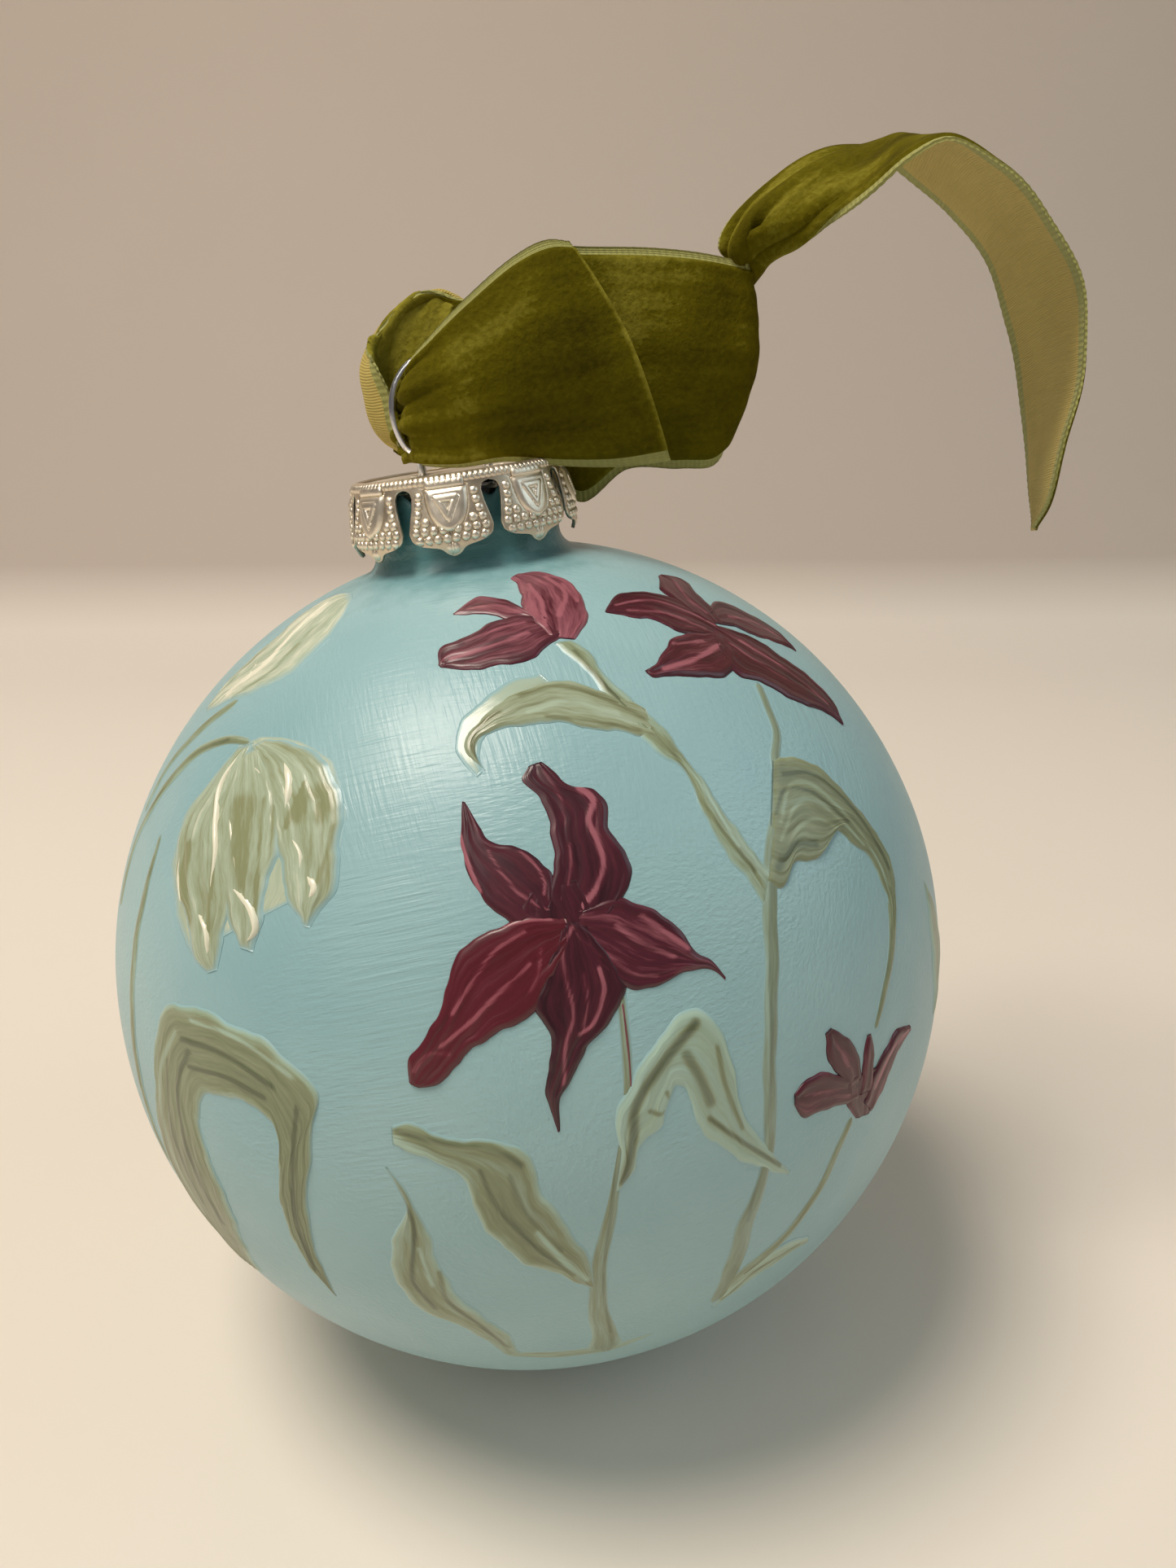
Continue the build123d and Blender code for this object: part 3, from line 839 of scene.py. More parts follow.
def large_flower(p):
    """Five broad petals with pale streaks drawn through wet paint."""
    p.shape([(0.2, 3.4), (-0.8, 1.6), (0.2, -0.6)], [(3.6, 3.4), (4.4, 1.6), (3.6, -0.8)], tone=0.2)
    p.shape(
        [(1.6, 12.2), (1.1, 11.3), (1.6, 10.2), (2.1, 8.9), (2.4, 7.4), (2, 4.6), (1.5, 2.7), (2.2, 0.4)],
        [(2.6, 12.4), (3.6, 11.4), (4.4, 10.2), (5.9, 9.7), (6.8, 8.2), (6.6, 6.4), (7.3, 4.7), (7.4, 2.6),
         (5.4, 0.6)],
        tone=0.26, marks=[
            ([(4.9, 9.9), (5.7, 8.9), (5.1, 7.4), (5.4, 6), (5.6, 4.4), (5, 2.9), (3.6, 1.5)], 0.5, 0.85),
            ([(3.5, 6), (3.3, 4.5), (2.9, 3.3), (3, 1.7)], 0.25, 0.5),
            ([(2.6, 11.6), (3.4, 9.6), (3.4, 7.4)], 0.3, 0.35)])
    p.shape(
        [(-3.5, 10.4), (-3.9, 8.4), (-4.1, 7.4), (-3.6, 4.6), (-2.9, 2.6), (-1, 1), (0.6, 0.6)],
        [(-3.3, 10.3), (-2.6, 8.6), (-1.6, 6.9), (0, 6.3), (1.4, 5.2), (1.9, 4.2), (1.6, 2.4)],
        layer=1, tone=0.3, marks=[
            ([(-4, 7.9), (-3.8, 6.2), (-3.2, 3.8)], 0.3, 1.1),
            ([(0, 6), (0.8, 5), (1.3, 3.6), (1.1, 2.8)], 0.25, 0.6),
            ([(-2.2, 6.4), (-1.7, 5.2), (-0.5, 3.1), (1.1, 1.7)], 0.25, 0.5)])
    p.shape(
        [(13.1, -5.2), (12.2, -3.8), (11.3, -3.1), (10.7, -1.9), (9.3, -0.3), (7.9, 1), (6.2, 1.7),
         (3.4, 1.2)],
        [(13, -5.4), (12.4, -4.7), (11.6, -4.3), (9.4, -4.5), (7.7, -4.8), (5.6, -4.5), (4, -3),
         (2.6, -0.4)],
        layer=2, tone=0.47, marks=[
            ([(10.5, -2.6), (9.1, -1.2), (7.6, 0.2)], 0.4, 0.55),
            ([(9.4, -3), (8.1, -2.2), (6.7, -1.2), (5.7, -0.2)], 0.4, 0.5),
            ([(8, -4.1), (6.2, -3.6), (4.6, -2)], 0.3, 0.3)])
    p.shape(
        [(-0.7, -13.7), (-1, -10.8), (-0.4, -8.1), (0, -6.5), (-0.9, -4.6), (0.4, -2.2), (1.8, 0.6)],
        [(-0.5, -13.6), (-0.1, -11.3), (0.8, -10.2), (2.2, -8.1), (3.6, -7.2), (5, -5.6), (5.6, -4),
         (4.8, -1.5), (3, 0.6)],
        layer=3, tone=0.17, marks=[
            ([(2.6, 0.2), (1.8, -1), (1.6, -2.9), (1.7, -5.7), (0.9, -7.4), (0.3, -10.2)], 0.35, 0.6),
            ([(4, -2.8), (4.1, -4.3), (2.9, -6.5), (1.9, -7)], 0.35, 0.75),
            ([(2.9, -3.1), (2.8, -5), (2.2, -6.5)], 0.3, 0.5)])
    p.shape(
        [(-10.4, -8.4), (-10.3, -6.9), (-8.8, -5.7), (-7.7, -4.4), (-6.7, -2.4), (-5.7, -0.7), (-4.2, 0.7),
         (-2.3, 1.2), (0, 1.4), (2.4, 1)],
        [(-9.7, -8.9), (-8.7, -8.9), (-7.2, -8.3), (-5.8, -6.8), (-3.6, -6.1), (-1, -5), (0.8, -3),
         (2.2, -0.7)],
        layer=4, tone=0.18, warm=0.3, marks=[
            ([(-0.6, 0.5), (-2.6, -0.3), (-4.3, -1.8), (-6.4, -4.1)], 0.35, 0.85),
            ([(-0.6, -1.7), (-3.1, -3.3), (-5.2, -4.8), (-7.6, -6.2)], 0.35, 0.85),
            ([(0.3, -0.8), (-0.2, -2.5), (-0.9, -3.5)], 0.3, 0.5),
            ([(-2.1, 1.1), (-0.1, 1.2), (1.4, 1)], 0.25, 0.8),
            ([(-9.8, -7.6), (-8.6, -6.6), (-7.1, -6.8)], 0.4, 0.4)])
    p.line([(5.2, -5.4), (5.1, -8.6), (4.9, -11.8)], [0.22, 0.22, 0.15], layer=1, tone=0.7)
    throat = [
        [(1.4, 1.6), (0.2, 2.6)], [(2.2, 2), (2.4, 3.8)], [(3.2, 1.2), (4.8, 1.4)],
        [(2.6, -0.2), (3.4, -1.8)],
    ]
    for path in throat:
        p.line(path, [0.35, 0.2, 0.1], layer=6, tone=0.75)


def upper_flower(p):
    """Three petals seen from the side."""
    p.shape(
        [(-2.3, 28.7), (0.2, 30.6), (2.1, 29.9), (3.5, 28.3), (4.4, 27)],
        [(-2.3, 28.5), (0.5, 27.7), (2, 26.9), (3.6, 26.6), (4.6, 26)],
        tone=0.62, marks=[([(-1, 28.8), (1.4, 28.8), (3.4, 27.4)], 0.3, 0.4)])
    p.shape(
        [(-4, 22.7), (-3.6, 24.6), (-0.8, 25.7), (1.1, 26.7), (3.2, 27.2), (5.6, 26.4)],
        [(-3.8, 22.4), (-2, 21.7), (0.5, 21.5), (2.7, 21.5), (4.8, 22.7), (6.4, 23.8)],
        layer=1, tone=0.5, marks=[
            ([(-2.9, 23), (0.2, 23.6), (3.6, 24.6)], 0.4, 0.5),
            ([(-1.5, 24.6), (1.4, 25.6), (3.6, 26)], 0.3, 0.4)])
    p.shape(
        [(3.3, 33), (3.8, 31.4), (3.9, 29.8), (3.5, 28.4), (4, 26.6), (5, 24)],
        [(4.2, 33.7), (6.5, 33.8), (8.3, 32.1), (9.4, 28.8), (8.9, 25.7), (7.4, 23.4)],
        layer=2, tone=0.75, marks=[
            ([(6.6, 32.6), (7.8, 29.6), (6.6, 26.4)], 0.4, 0.6),
            ([(4.8, 31.4), (5.4, 28.4), (5.2, 25.2)], 0.35, 0.5), ([(7.9, 31.2), (8.6, 28.2)], 0.3, 0.4)])


def right_flower(p):
    """Five pointed petals turned to the right."""
    p.shape(
        [(18.7, 34), (17.7, 30.6), (18.4, 28.6), (20.4, 26)],
        [(19.4, 34.6), (21.7, 34.5), (22.2, 31.4), (22.8, 28.5), (22.9, 26)],
        tone=0.34, marks=[([(20.2, 33.4), (20.2, 30), (21.4, 27.4)], 0.4, 0.4)])
    p.shape(
        [(32.4, 24.9), (31.7, 28), (28.5, 29.6), (25.7, 30.8), (23.4, 29.9), (22, 28)],
        [(32.3, 24.6), (30.8, 25), (27.5, 25), (24.3, 25.8), (22.2, 26)],
        tone=0.33, marks=[([(31, 26.2), (27.6, 27.8), (24.2, 27.6)], 0.4, 0.4)])
    p.shape(
        [(10.8, 26.8), (12.4, 29.3), (14.9, 30), (17.2, 30.1), (19.3, 28.8), (21.3, 26.8), (22.2, 25)],
        [(10.9, 26.6), (12.5, 26.1), (15, 25.6), (16.7, 24.4), (20.2, 23.6), (21.8, 23.6)],
        layer=1, tone=0.34, marks=[
            ([(12, 27.6), (15.6, 28.6), (19, 27.2), (21.4, 25.4)], 0.4, 0.5),
            ([(13, 26.8), (16.4, 26.6), (20, 24.8)], 0.4, 0.4)])
    p.shape(
        [(33.3, 15.1), (33.3, 17.9), (32.1, 20), (29.5, 22), (26.9, 24), (24.1, 25.3), (21.5, 25.6)],
        [(33.1, 14.9), (31.1, 16.1), (28.3, 16.4), (25.4, 17.6), (23.3, 18.6), (21.1, 19.4), (20.2, 21.4),
         (20.4, 24)],
        layer=2, tone=0.32, marks=[
            ([(31.9, 17.2), (28, 20.4), (23.4, 23.6)], 0.4, 0.45),
            ([(29, 18.2), (25, 20.4), (22, 23)], 0.3, 0.3)])
    p.shape(
        [(12.4, 19.6), (13.6, 20.3), (14.7, 21.6), (15.9, 23.3), (17.9, 23.9), (21, 24.6)],
        [(12.5, 19.3), (12.9, 18.8), (14.2, 19), (15.6, 18.8), (18.1, 18.7), (20.6, 19.4), (22.2, 21.6)],
        layer=3,
        marks=[([(14, 19.6), (17.2, 20.6), (20.6, 22.6)], 0.5, 0.7), ([(15.8, 22.4), (19, 23)], 0.35, 0.5)])


def small_flower(p):
    """A half-open flower low on the right."""
    p.shape([(23.4, -16.4), (23.8, -18.4), (25.2, -20.6)], [(28.6, -16.6), (28.8, -19.2), (27.4, -21)])
    p.shape(
        [(18, -15.6), (19.2, -14.7), (21.4, -14.9), (23.4, -15.7), (25.4, -16.2)],
        [(18, -16.6), (18.8, -17.9), (20.6, -18.3), (22.6, -18.3), (25.4, -18.9)],
        layer=1, marks=[([(19, -16), (22, -16.6), (24.6, -17.2)], 0.4, 0.4)])
    p.shape(
        [(21.5, -11.6), (21.6, -13.6), (22.7, -15.4), (23.8, -17.4)],
        [(22.2, -11.3), (23.7, -12.2), (25, -14), (26, -16.6)],
        layer=2, tone=0.33, marks=[([(22.4, -12.4), (23.8, -15)], 0.35, 0.3)])
    p.shape(
        [(26.6, -13.2), (26, -14.8), (25.7, -16.4), (25.5, -18.4)],
        [(27.1, -13.2), (27.6, -14.6), (27.4, -16.4), (27.2, -18.4)],
        layer=3, tone=0.45)
    p.shape(
        [(33.9, -14.5), (31.2, -14.2), (29, -15.4), (27.3, -17.2), (26, -19.2)],
        [(34, -15.1), (32, -16.2), (30.2, -17.6), (29, -19.6), (27.4, -20.8)],
        layer=4, tone=0.48, marks=[([(33, -14.8), (30, -15.8), (27.6, -18.4)], 0.4, 0.5)])


def bell_flower(p):
    """Three hanging petals in thick pale paint, with white ridges left by the brush."""
    p.shape(
        [(-22.6, 21), (-26.4, 18.2), (-29.4, 15.8), (-30.6, 12.4), (-30.2, 8.6), (-29.2, 5.6), (-28.2, 3.4)],
        [(-20.2, 20.8), (-16, 19), (-13.2, 16.2), (-12.2, 13), (-12.4, 10), (-13.4, 7.6), (-16, 6)],
        thick=0.05, tone=0.55, soft=0.9, grain=0.4)
    p.shape(
        [(-26.3, 1.7), (-27.6, 2.7), (-28.4, 6), (-29.8, 9.5), (-30.2, 12.5), (-28.8, 15.9), (-26, 17.8),
         (-23, 20.6)],
        [(-25.2, 1.8), (-23.8, 4.5), (-22.4, 8), (-22.4, 12), (-21.8, 16), (-20.9, 20.4)],
        thick=0.36, layer=1, tone=0.31, soft=0.8, marks=[
            ([(-27.6, 12.6), (-28.4, 9.4), (-28, 6.4)], 1.2, -0.45),
            ([(-24.6, 16.6), (-24.4, 13.1), (-24.7, 9.1), (-25.6, 4.5)], 0.4, -0.4)])
    p.shape(
        [(-16.6, 3.8), (-17.6, 5.6), (-18.2, 8.6), (-18.8, 12), (-19.6, 16), (-21.2, 20)],
        [(-16, 3.5), (-15, 4.4), (-13.5, 6), (-12.6, 10.1), (-12.4, 13.2), (-13.6, 16), (-16, 18.6),
         (-19.5, 20.2)],
        thick=0.36, layer=2, tone=0.36, soft=0.8, marks=[
            ([(-16.4, 12.2), (-15.2, 13.6), (-13.6, 13.2), (-14.2, 11.6)], 1.5, -0.4),
            ([(-13.2, 10.6), (-13.8, 8.8), (-15, 6.3)], 0.4, -0.3),
            ([(-17.2, 11.4), (-16, 13.4), (-15.4, 14.6)], 0.4, -0.5)])
    p.shape(
        [(-22.6, 3.2), (-23.6, 6), (-24.4, 9.5), (-24.2, 14), (-22.6, 19.5)],
        [(-21.2, 2.6), (-20.2, 4.6), (-19, 7.6), (-17.6, 11), (-17.6, 15), (-19.9, 19.8)],
        thick=0.36, layer=3, tone=0.38, soft=0.8, marks=[
            ([(-21.4, 14.4), (-21.6, 11.6), (-21.2, 8.4)], 2.2, -0.4),
            ([(-19.2, 14.3), (-19.5, 11.8), (-20, 8.1), (-20.6, 5)], 0.4, -0.4)])
    ridges = [
        ([(-21.9, 20), (-24.1, 17), (-24.4, 14.2), (-24.4, 11), (-25, 8.2)], 0.8),
        ([(-17.4, 17.4), (-16.8, 15.2), (-17.2, 12.6)], 1.0), ([(-26.6, 6.7), (-25.7, 5), (-25.8, 3)], 0.7),
        ([(-22.9, 8.2), (-21.1, 6.1), (-20.7, 4.3), (-21.7, 3.3)], 0.9),
        ([(-15.7, 7.4), (-15.1, 6.3), (-15.8, 5.5)], 0.9),
        ([(-23, 15.5), (-22.6, 12.5), (-22.2, 9.7), (-22, 7.4)], 0.5),
        ([(-20.9, 18.2), (-19.3, 16.2), (-19.1, 14)], 0.5),
        ([(-28.6, 13.6), (-29.1, 10.6), (-28.9, 8)], 0.35),
        ([(-16.9, 10.8), (-16.1, 9), (-16.3, 7.6)], 0.5),
    ]
    for path, width in ridges:
        p.line(path, [0.2, width, width, 0.25], thick=0.38, layer=7, tone=1.0, grain=0.4)


def bud(p):
    """A closed bud high on the left."""
    p.shape(
        [(-12.8, 38.5), (-15.5, 40.4), (-19, 39.6), (-22, 36), (-27, 33.2), (-30.6, 29.8)],
        [(-12.4, 36.6), (-13, 32.3), (-15.4, 28.4), (-18.9, 26.4), (-23.4, 26.8), (-29.6, 28.4)],
        thick=0.28, tone=0.62, soft=1.4, marks=[
            ([(-15.7, 37.8), (-18.9, 33.7), (-21.2, 30.5), (-26, 29)], 0.7, 0.7),
            ([(-17.4, 31), (-20.4, 28.4), (-25, 27.8)], 0.5, -0.4),
            ([(-20.4, 36.6), (-24.4, 32.4), (-28, 30.2)], 0.5, -0.35)])
    p.line([(-15.7, 37.6), (-17.6, 35), (-18.9, 33.2)], [0.2, 0.5, 0.2], thick=0.35, layer=5, tone=0.95)
    p.line([(-22.7, 32.2), (-23.2, 30), (-24.2, 28.6)], [0.2, 0.45, 0.2], thick=0.3, layer=5, tone=0.95)


def gold_leaf(p):
    """The leaf with a hooked tip above the large flower, over a wash of pale green."""
    p.shape(
        [(-2.2, 12), (-3.5, 14.2), (-2.6, 17), (0.4, 19.4), (3.8, 20.3)],
        [(-1.7, 12.4), (-1.6, 14.6), (0.4, 15.9), (3, 16.8), (5, 18.4)],
        thick=0.08, layer=1, tone=0.0, soft=0.7, cover=0.85, grain=0.4)
    p.shape(
        [(-1.6, 12.5), (-2.9, 14.2), (-2.6, 15.6), (-1.3, 17), (1.3, 18.5), (3.9, 19.4), (6.8, 18.8),
         (8.9, 17.6), (11.4, 16)],
        [(-1.5, 12.4), (-1.9, 14.2), (-1.4, 15.1), (0.4, 15.5), (3.6, 15.5), (6.6, 14.6), (8.9, 13.9),
         (11.9, 12.9)],
        layer=3, tone=0.36, soft=0.3, grain=1.1, marks=[
            ([(0.2, 17), (-1.4, 16.1), (-2.2, 14.7), (-1.7, 13)], 0.35, 0.45),
            ([(2, 18.2), (5, 18.6), (8.4, 17), (11, 15)], 0.5, 0.35),
            ([(2.4, 16.6), (5.6, 17.2), (9, 15.6)], 0.5, -0.35),
            ([(3.6, 16), (7, 15.2), (10.4, 13.9)], 0.35, 0.4)])


def wavy_leaf(p):
    """The marbled leaf on the right, with a long thin tail."""
    p.pale_rim = 0.1
    p.line(
        [(27.7, -13), (29.2, -10.4), (30.5, -8.1), (31.5, -5.6), (32.3, -2.6), (32.4, 0)],
        [0.7, 1.0, 1.1, 1.3, 1.6, 1.6],
        layer=1, tone=0.55, soft=0.2)
    p.shape(
        [(31.6, -6.6), (32.8, -3.5), (33.6, -0.7), (32.9, 2.9), (30.6, 5.8), (28.6, 8.4), (26, 10.4),
         (23.7, 11.2), (21.5, 10.8)],
        [(31.3, -6.4), (31.4, -2.1), (30, 1.4), (27.8, 3.2), (26.4, 4.2), (23.5, 2.2), (20.8, 1.9),
         (19.2, 0.3), (17.8, 1)],
        layer=3, tone=0.63, soft=0.25, cover=0.92, grain=0.7, marks=[
            ([(20.4, 5.4), (22.4, 8.4), (24.4, 8.6), (27, 6.6), (30, 3), (32, -1)], 0.4, -0.28),
            ([(20, 4), (22.6, 6.8), (24.6, 6.9), (27, 5.2), (29.4, 2.8)], 0.35, -0.25),
            ([(19.8, 2.8), (22.4, 5), (24.4, 5.4), (26.6, 4.4)], 0.35, -0.22),
            ([(22, 9.4), (25, 9.4), (28.4, 7), (31, 3.6), (32.6, 0.4)], 0.4, 0.4),
            ([(19.2, 2), (21, 3.4), (23.4, 3.4)], 0.8, 0.4),
            ([(20.2, 6.2), (21.6, 8), (24.4, 7.8), (28, 5)], 0.35, 0.4)])


def arched_leaf(p):
    """The pale leaf that bends over like a wishbone, with olive strokes along it."""
    p.shape(
        [(2.6, -19.3), (3.4, -15.9), (3.5, -13), (4.9, -11), (7.2, -8.6), (9.2, -6.8), (10.8, -7.1),
         (12.3, -9.1), (12.9, -11.9), (13, -14.4), (14.7, -18.3), (17.6, -22.5)],
        [(3.1, -19.4), (4.6, -17.6), (5.3, -15.9), (6.8, -14.9), (7.8, -12.9), (8.2, -12.2), (8.8, -12.4),
         (9.1, -13.8), (9.4, -15.6), (11.2, -18.1), (14.1, -20.8), (17.3, -23)],
        layer=3, tone=0.12, soft=0.35, cover=0.85, grain=0.35, marks=[
            ([(10.2, -7.9), (7.2, -10.4), (5, -12.9), (4.5, -15.4), (3.4, -18.6)], 0.75, 0.85),
            ([(9.2, -10), (10, -12), (10.6, -14)], 0.8, 0.65),
            ([(10.4, -15.2), (12.6, -17.6), (16.4, -21.4)], 0.4, 0.75),
            ([(11.6, -10), (11.9, -13), (13, -16.8)], 0.4, 0.45),
            ([(7.4, -12.4), (7.6, -13.4), (6.8, -13.9), (6, -13.5)], 0.35, 0.6)])


def low_leaf(p):
    """The leaf that leans in to the large flower's stem: pale outside, olive along its middle."""
    p.shape(
        [(-12.4, -11.5), (-11, -11.1), (-8.3, -12.9), (-6, -13.1), (-4, -13.9), (-2.7, -15.5), (-2.4, -18),
         (-1.2, -21.1), (-0.2, -24), (0.4, -28.4)],
        [(-12.6, -12.9), (-10.1, -14.6), (-8, -16.1), (-7.9, -18.6), (-7.1, -21.3), (-5.2, -24.4),
         (-2.9, -26.2), (-0.3, -28.6)],
        layer=3, tone=0.56, soft=0.4, cover=0.92, grain=0.6, marks=[
            ([(-12, -11.8), (-8.4, -13.2), (-5.4, -13.8), (-3.6, -15.6)], 0.5, 0.35),
            ([(-12.2, -12.8), (-10, -14.6), (-8.4, -16.2)], 1.4, -0.45),
            ([(-6.6, -15.6), (-6, -18.6), (-4.2, -22.2), (-1.4, -26.4)], 0.4, 0.35),
            ([(-4.6, -16.4), (-4, -19.6), (-2, -23.6)], 0.4, 0.3),
            ([(-3.4, -21.6), (-2, -24.6), (-0.5, -27.2)], 0.6, -0.5)])


def curled_leaf(p):
    """The small leaf at the lower left, with its thin tip and long foot."""
    p.shape(
        [(-13.7, -14.6), (-13.2, -16.5), (-13.1, -18.6), (-15.1, -21.3), (-15.9, -24.5), (-15.8, -27.6),
         (-14.3, -30.2), (-11.6, -32.6), (-9.2, -38.4)],
        [(-13.4, -14.6), (-12.5, -16.4), (-11.9, -18.8), (-11.5, -21.7), (-11.5, -24.3), (-10.8, -27.6),
         (-9.4, -30.8), (-8.2, -33), (-7.6, -38.2)],
        layer=2, tone=0.45, soft=0.4, cover=0.9, grain=0.6, marks=[
            ([(-13.3, -16), (-12.6, -19.4), (-13.4, -22.4), (-14.3, -25.6), (-13.4, -29)], 0.4, 0.6),
            ([(-11.8, -24.6), (-12, -28), (-10, -32), (-8.6, -36)], 0.45, 0.55),
            ([(-12.8, -22), (-12.8, -26)], 0.35, -0.4)])


def hooped_leaf(p):
    """The long leaf that loops over at the left."""
    p.shape(
        [(-37.4, -29), (-41.2, -20.1), (-41, -13.9), (-37.5, -7), (-34.6, -2), (-32.4, -0.3), (-28.3, -0.7),
         (-24.7, -2.3), (-21.6, -3.8), (-19.6, -5.6), (-17.9, -7.4), (-17.6, -8.8), (-18.5, -10.6),
         (-19.5, -13.4), (-20.8, -16.1), (-22.2, -20.9), (-22.7, -24.8), (-23, -28.8)],
        [(-34, -29.6), (-32.6, -24), (-31.4, -19.4), (-31.4, -15.3), (-31.2, -11.2), (-29.8, -8.6),
         (-27.8, -8.2), (-25.4, -8.7), (-23.4, -9.5), (-22.4, -10.8), (-22.3, -12.4), (-23.2, -14.6),
         (-24.2, -17.4), (-24.6, -20), (-24.6, -23.4), (-23.4, -28.9)],
        layer=3, tone=0.62, soft=0.4, grain=0.6, marks=[
            ([(-38.4, -22), (-38.6, -14), (-35.2, -6), (-31.4, -2.6)], 0.7, -0.35),
            ([(-34.4, -22), (-34.6, -14), (-32.6, -7), (-30, -4.4)], 0.6, 0.45),
            ([(-30.6, -3.2), (-25.6, -4.8), (-21.4, -7.6)], 0.5, 0.5),
            ([(-30.4, -5.6), (-26, -6.6), (-22.4, -8.4)], 0.4, 0.5),
            ([(-29, -1.8), (-24, -3.6), (-19.4, -7)], 0.4, -0.4),
            ([(-19.6, -9.4), (-21.2, -13.4), (-23, -19), (-23.6, -25)], 0.4, 0.45),
            ([(-36.6, -20), (-36.6, -13), (-33.6, -5)], 0.4, 0.35)])


STEM_STREAK = 0.3  # the change of tone along a stem's middle
TALL_STEM = [(12.4, -31.3), (13.3, -26.5), (14.9, -22), (15.5, -18.7), (15.8, -13.1)]


def straight_stem(p, foot, foot_width, **look):
    """The large flower's stem, from its foot up."""
    p.line(
        foot + [(0.1, -32), (0.6, -26.7), (1.7, -22.7), (2.7, -19.2), (3.8, -15.2), (4.8, -10.7),
                (5.2, -4.6)],
        [foot_width, 2.7, 2.0, 1.6, 1.3, 1.1, 1.0, 0.9, 0.8],
        soft=0.3, marks=[([(0.8, -36), (0.8, -28), (2.4, -20), (4.2, -12)], 0.3, STEM_STREAK)], **look)


def small_stem(p):
    """The stem of the half-open flower."""
    p.line(
        [(24.7, -20.2), (23.3, -22.5), (21.7, -25.8), (19.3, -29.1), (16.8, -31.4), (13.5, -33.3),
         (11, -36.4)],
        [1.1, 1.2, 1.3, 1.4, 1.6, 1.9, 1.2],
        layer=1, tone=0.58, soft=0.3)


def stems(p):
    """The stems of the front of the ball, and the two strokes of ground."""
    straight_stem(p, [(0.1, -41), (0.2, -37.1)], 4.4, tone=0.5, cover=0.8, grain=0.7)
    p.line(
        [(10.8, -36.7)] + TALL_STEM + [(16.5, -8.4), (17.4, -3.4), (17.7, -1), (18.5, 1.8), (19.3, 4.2),
         (20.5, 6.3), (21.5, 9), (21.9, 10.9), (23, 13.4), (23.1, 16.2), (23.1, 18.6)],
        [1.2, 2.2, 2.0, 1.2, 1.5, 1.5, 1.5, 1.7, 1.5, 1.2, 1.1, 1.0],
        layer=1, tone=0.6, soft=0.3, cover=0.75, grain=0.6, marks=[
            ([(13.4, -26), (15.6, -15), (17.2, -3), (19, 3.6)], 0.3, STEM_STREAK),
            ([(15.1, -20), (16.2, -8), (18.2, 2)], 0.3, -0.25)])
    p.shape(
        [(5.4, 23.2), (7.3, 20.2), (8.3, 17.6), (9.7, 14.5), (11.3, 12), (13.1, 10), (14, 5.6), (15.1, 3.2),
         (16.3, 1), (17.2, -0.9)],
        [(7.1, 23.4), (8.4, 21.8), (9.3, 18.9), (11.1, 16.3), (13, 13.2), (13.9, 10.9), (15.1, 8.5),
         (16, 6.1), (17.4, 3.8), (18.6, 1.5)],
        layer=2, soft=0.45, marks=[
            ([(7, 22), (9, 17.6), (12.4, 12.4), (14.6, 6), (17, 2)], 0.4, 0.4),
            ([(11.6, 13.8), (14, 9.4), (16, 4)], 0.3, -0.3)])
    small_stem(p)
    p.shape(
        [(10.7, -37.6), (12.4, -33.8), (15.1, -32.3), (19.1, -31.8), (21.4, -33.2)],
        [(11, -37.9), (14.2, -35.8), (18.1, -34.6), (21.7, -34.4)],
        layer=2, tone=0.2, soft=0.5, marks=[([(11.6, -36.4), (15, -33.6), (20, -33.2)], 0.4, 0.5)])
    p.line(
        [(-21.3, 20.6), (-24.8, 22.3), (-29, 22.7), (-32.5, 21.8), (-36.7, 19.9), (-40.5, 17.1), (-44, 11)],
        [0.9, 1.3, 1.7, 1.7, 1.5, 1.5, 1.4],
        layer=1, tone=0.45, soft=0.3, marks=[([(-24, 22), (-30, 22.6), (-37, 19.6)], 0.35, 0.35)])
    p.line(
        [(-33, 15.5), (-35.2, 10.8), (-37.4, 6.4), (-39.6, 1), (-41.6, -5), (-42.6, -11), (-42.8, -17)],
        [0.8, 1.4, 1.7, 1.6, 1.6, 1.5, 1.2],
        layer=1, tone=0.45, soft=0.35, marks=[([(-34, 13.4), (-38.4, 4), (-42, -8)], 0.3, STEM_STREAK)])
    p.line(
        [(-24, 26.9), (-30.8, 25.7), (-35.7, 24), (-39.4, 20.5)], [1.4, 1.7, 1.5, 1.2],
        layer=1, tone=0.42, soft=0.4)
    p.shape(
        [(41, -1.4), (40.8, -5), (41, -10), (42.4, -16.4)],
        [(41.4, -1.5), (44.4, -4.6), (46.4, -10), (43, -16.6)],
        layer=1, tone=0.3, soft=0.3, cover=0.88, grain=0.6,
        marks=[([(41.6, -3), (43.4, -8), (43, -15)], 0.4, 0.4)])
    p.line([(-9.4, -38.2), (-4.5, -39.4), (0.1, -40), (5, -39)], [1.6, 2.2, 2.4, 0.8], tone=0.3, soft=0.6)


def stems_of_back(p):
    """Two stems for the flowers that are turned away from the viewer."""
    straight_stem(p, [(0.1, -40), (0.2, -36)], 3.6, tone=0.42)
    p.line(
        [(11, -37)] + TALL_STEM + [(16.3, -8.4), (16.6, -3), (15, 3.4), (13, 11), (10.6, 16.4), (6.4, 23.2)],
        [1.2, 2.2, 2.0, 1.2, 1.4, 1.4, 1.5, 1.6, 1.6, 1.3],
        layer=1, tone=0.42, soft=0.3,
        marks=[([(13.4, -26), (15.6, -15), (16.6, -3), (13, 11)], 0.3, STEM_STREAK)])


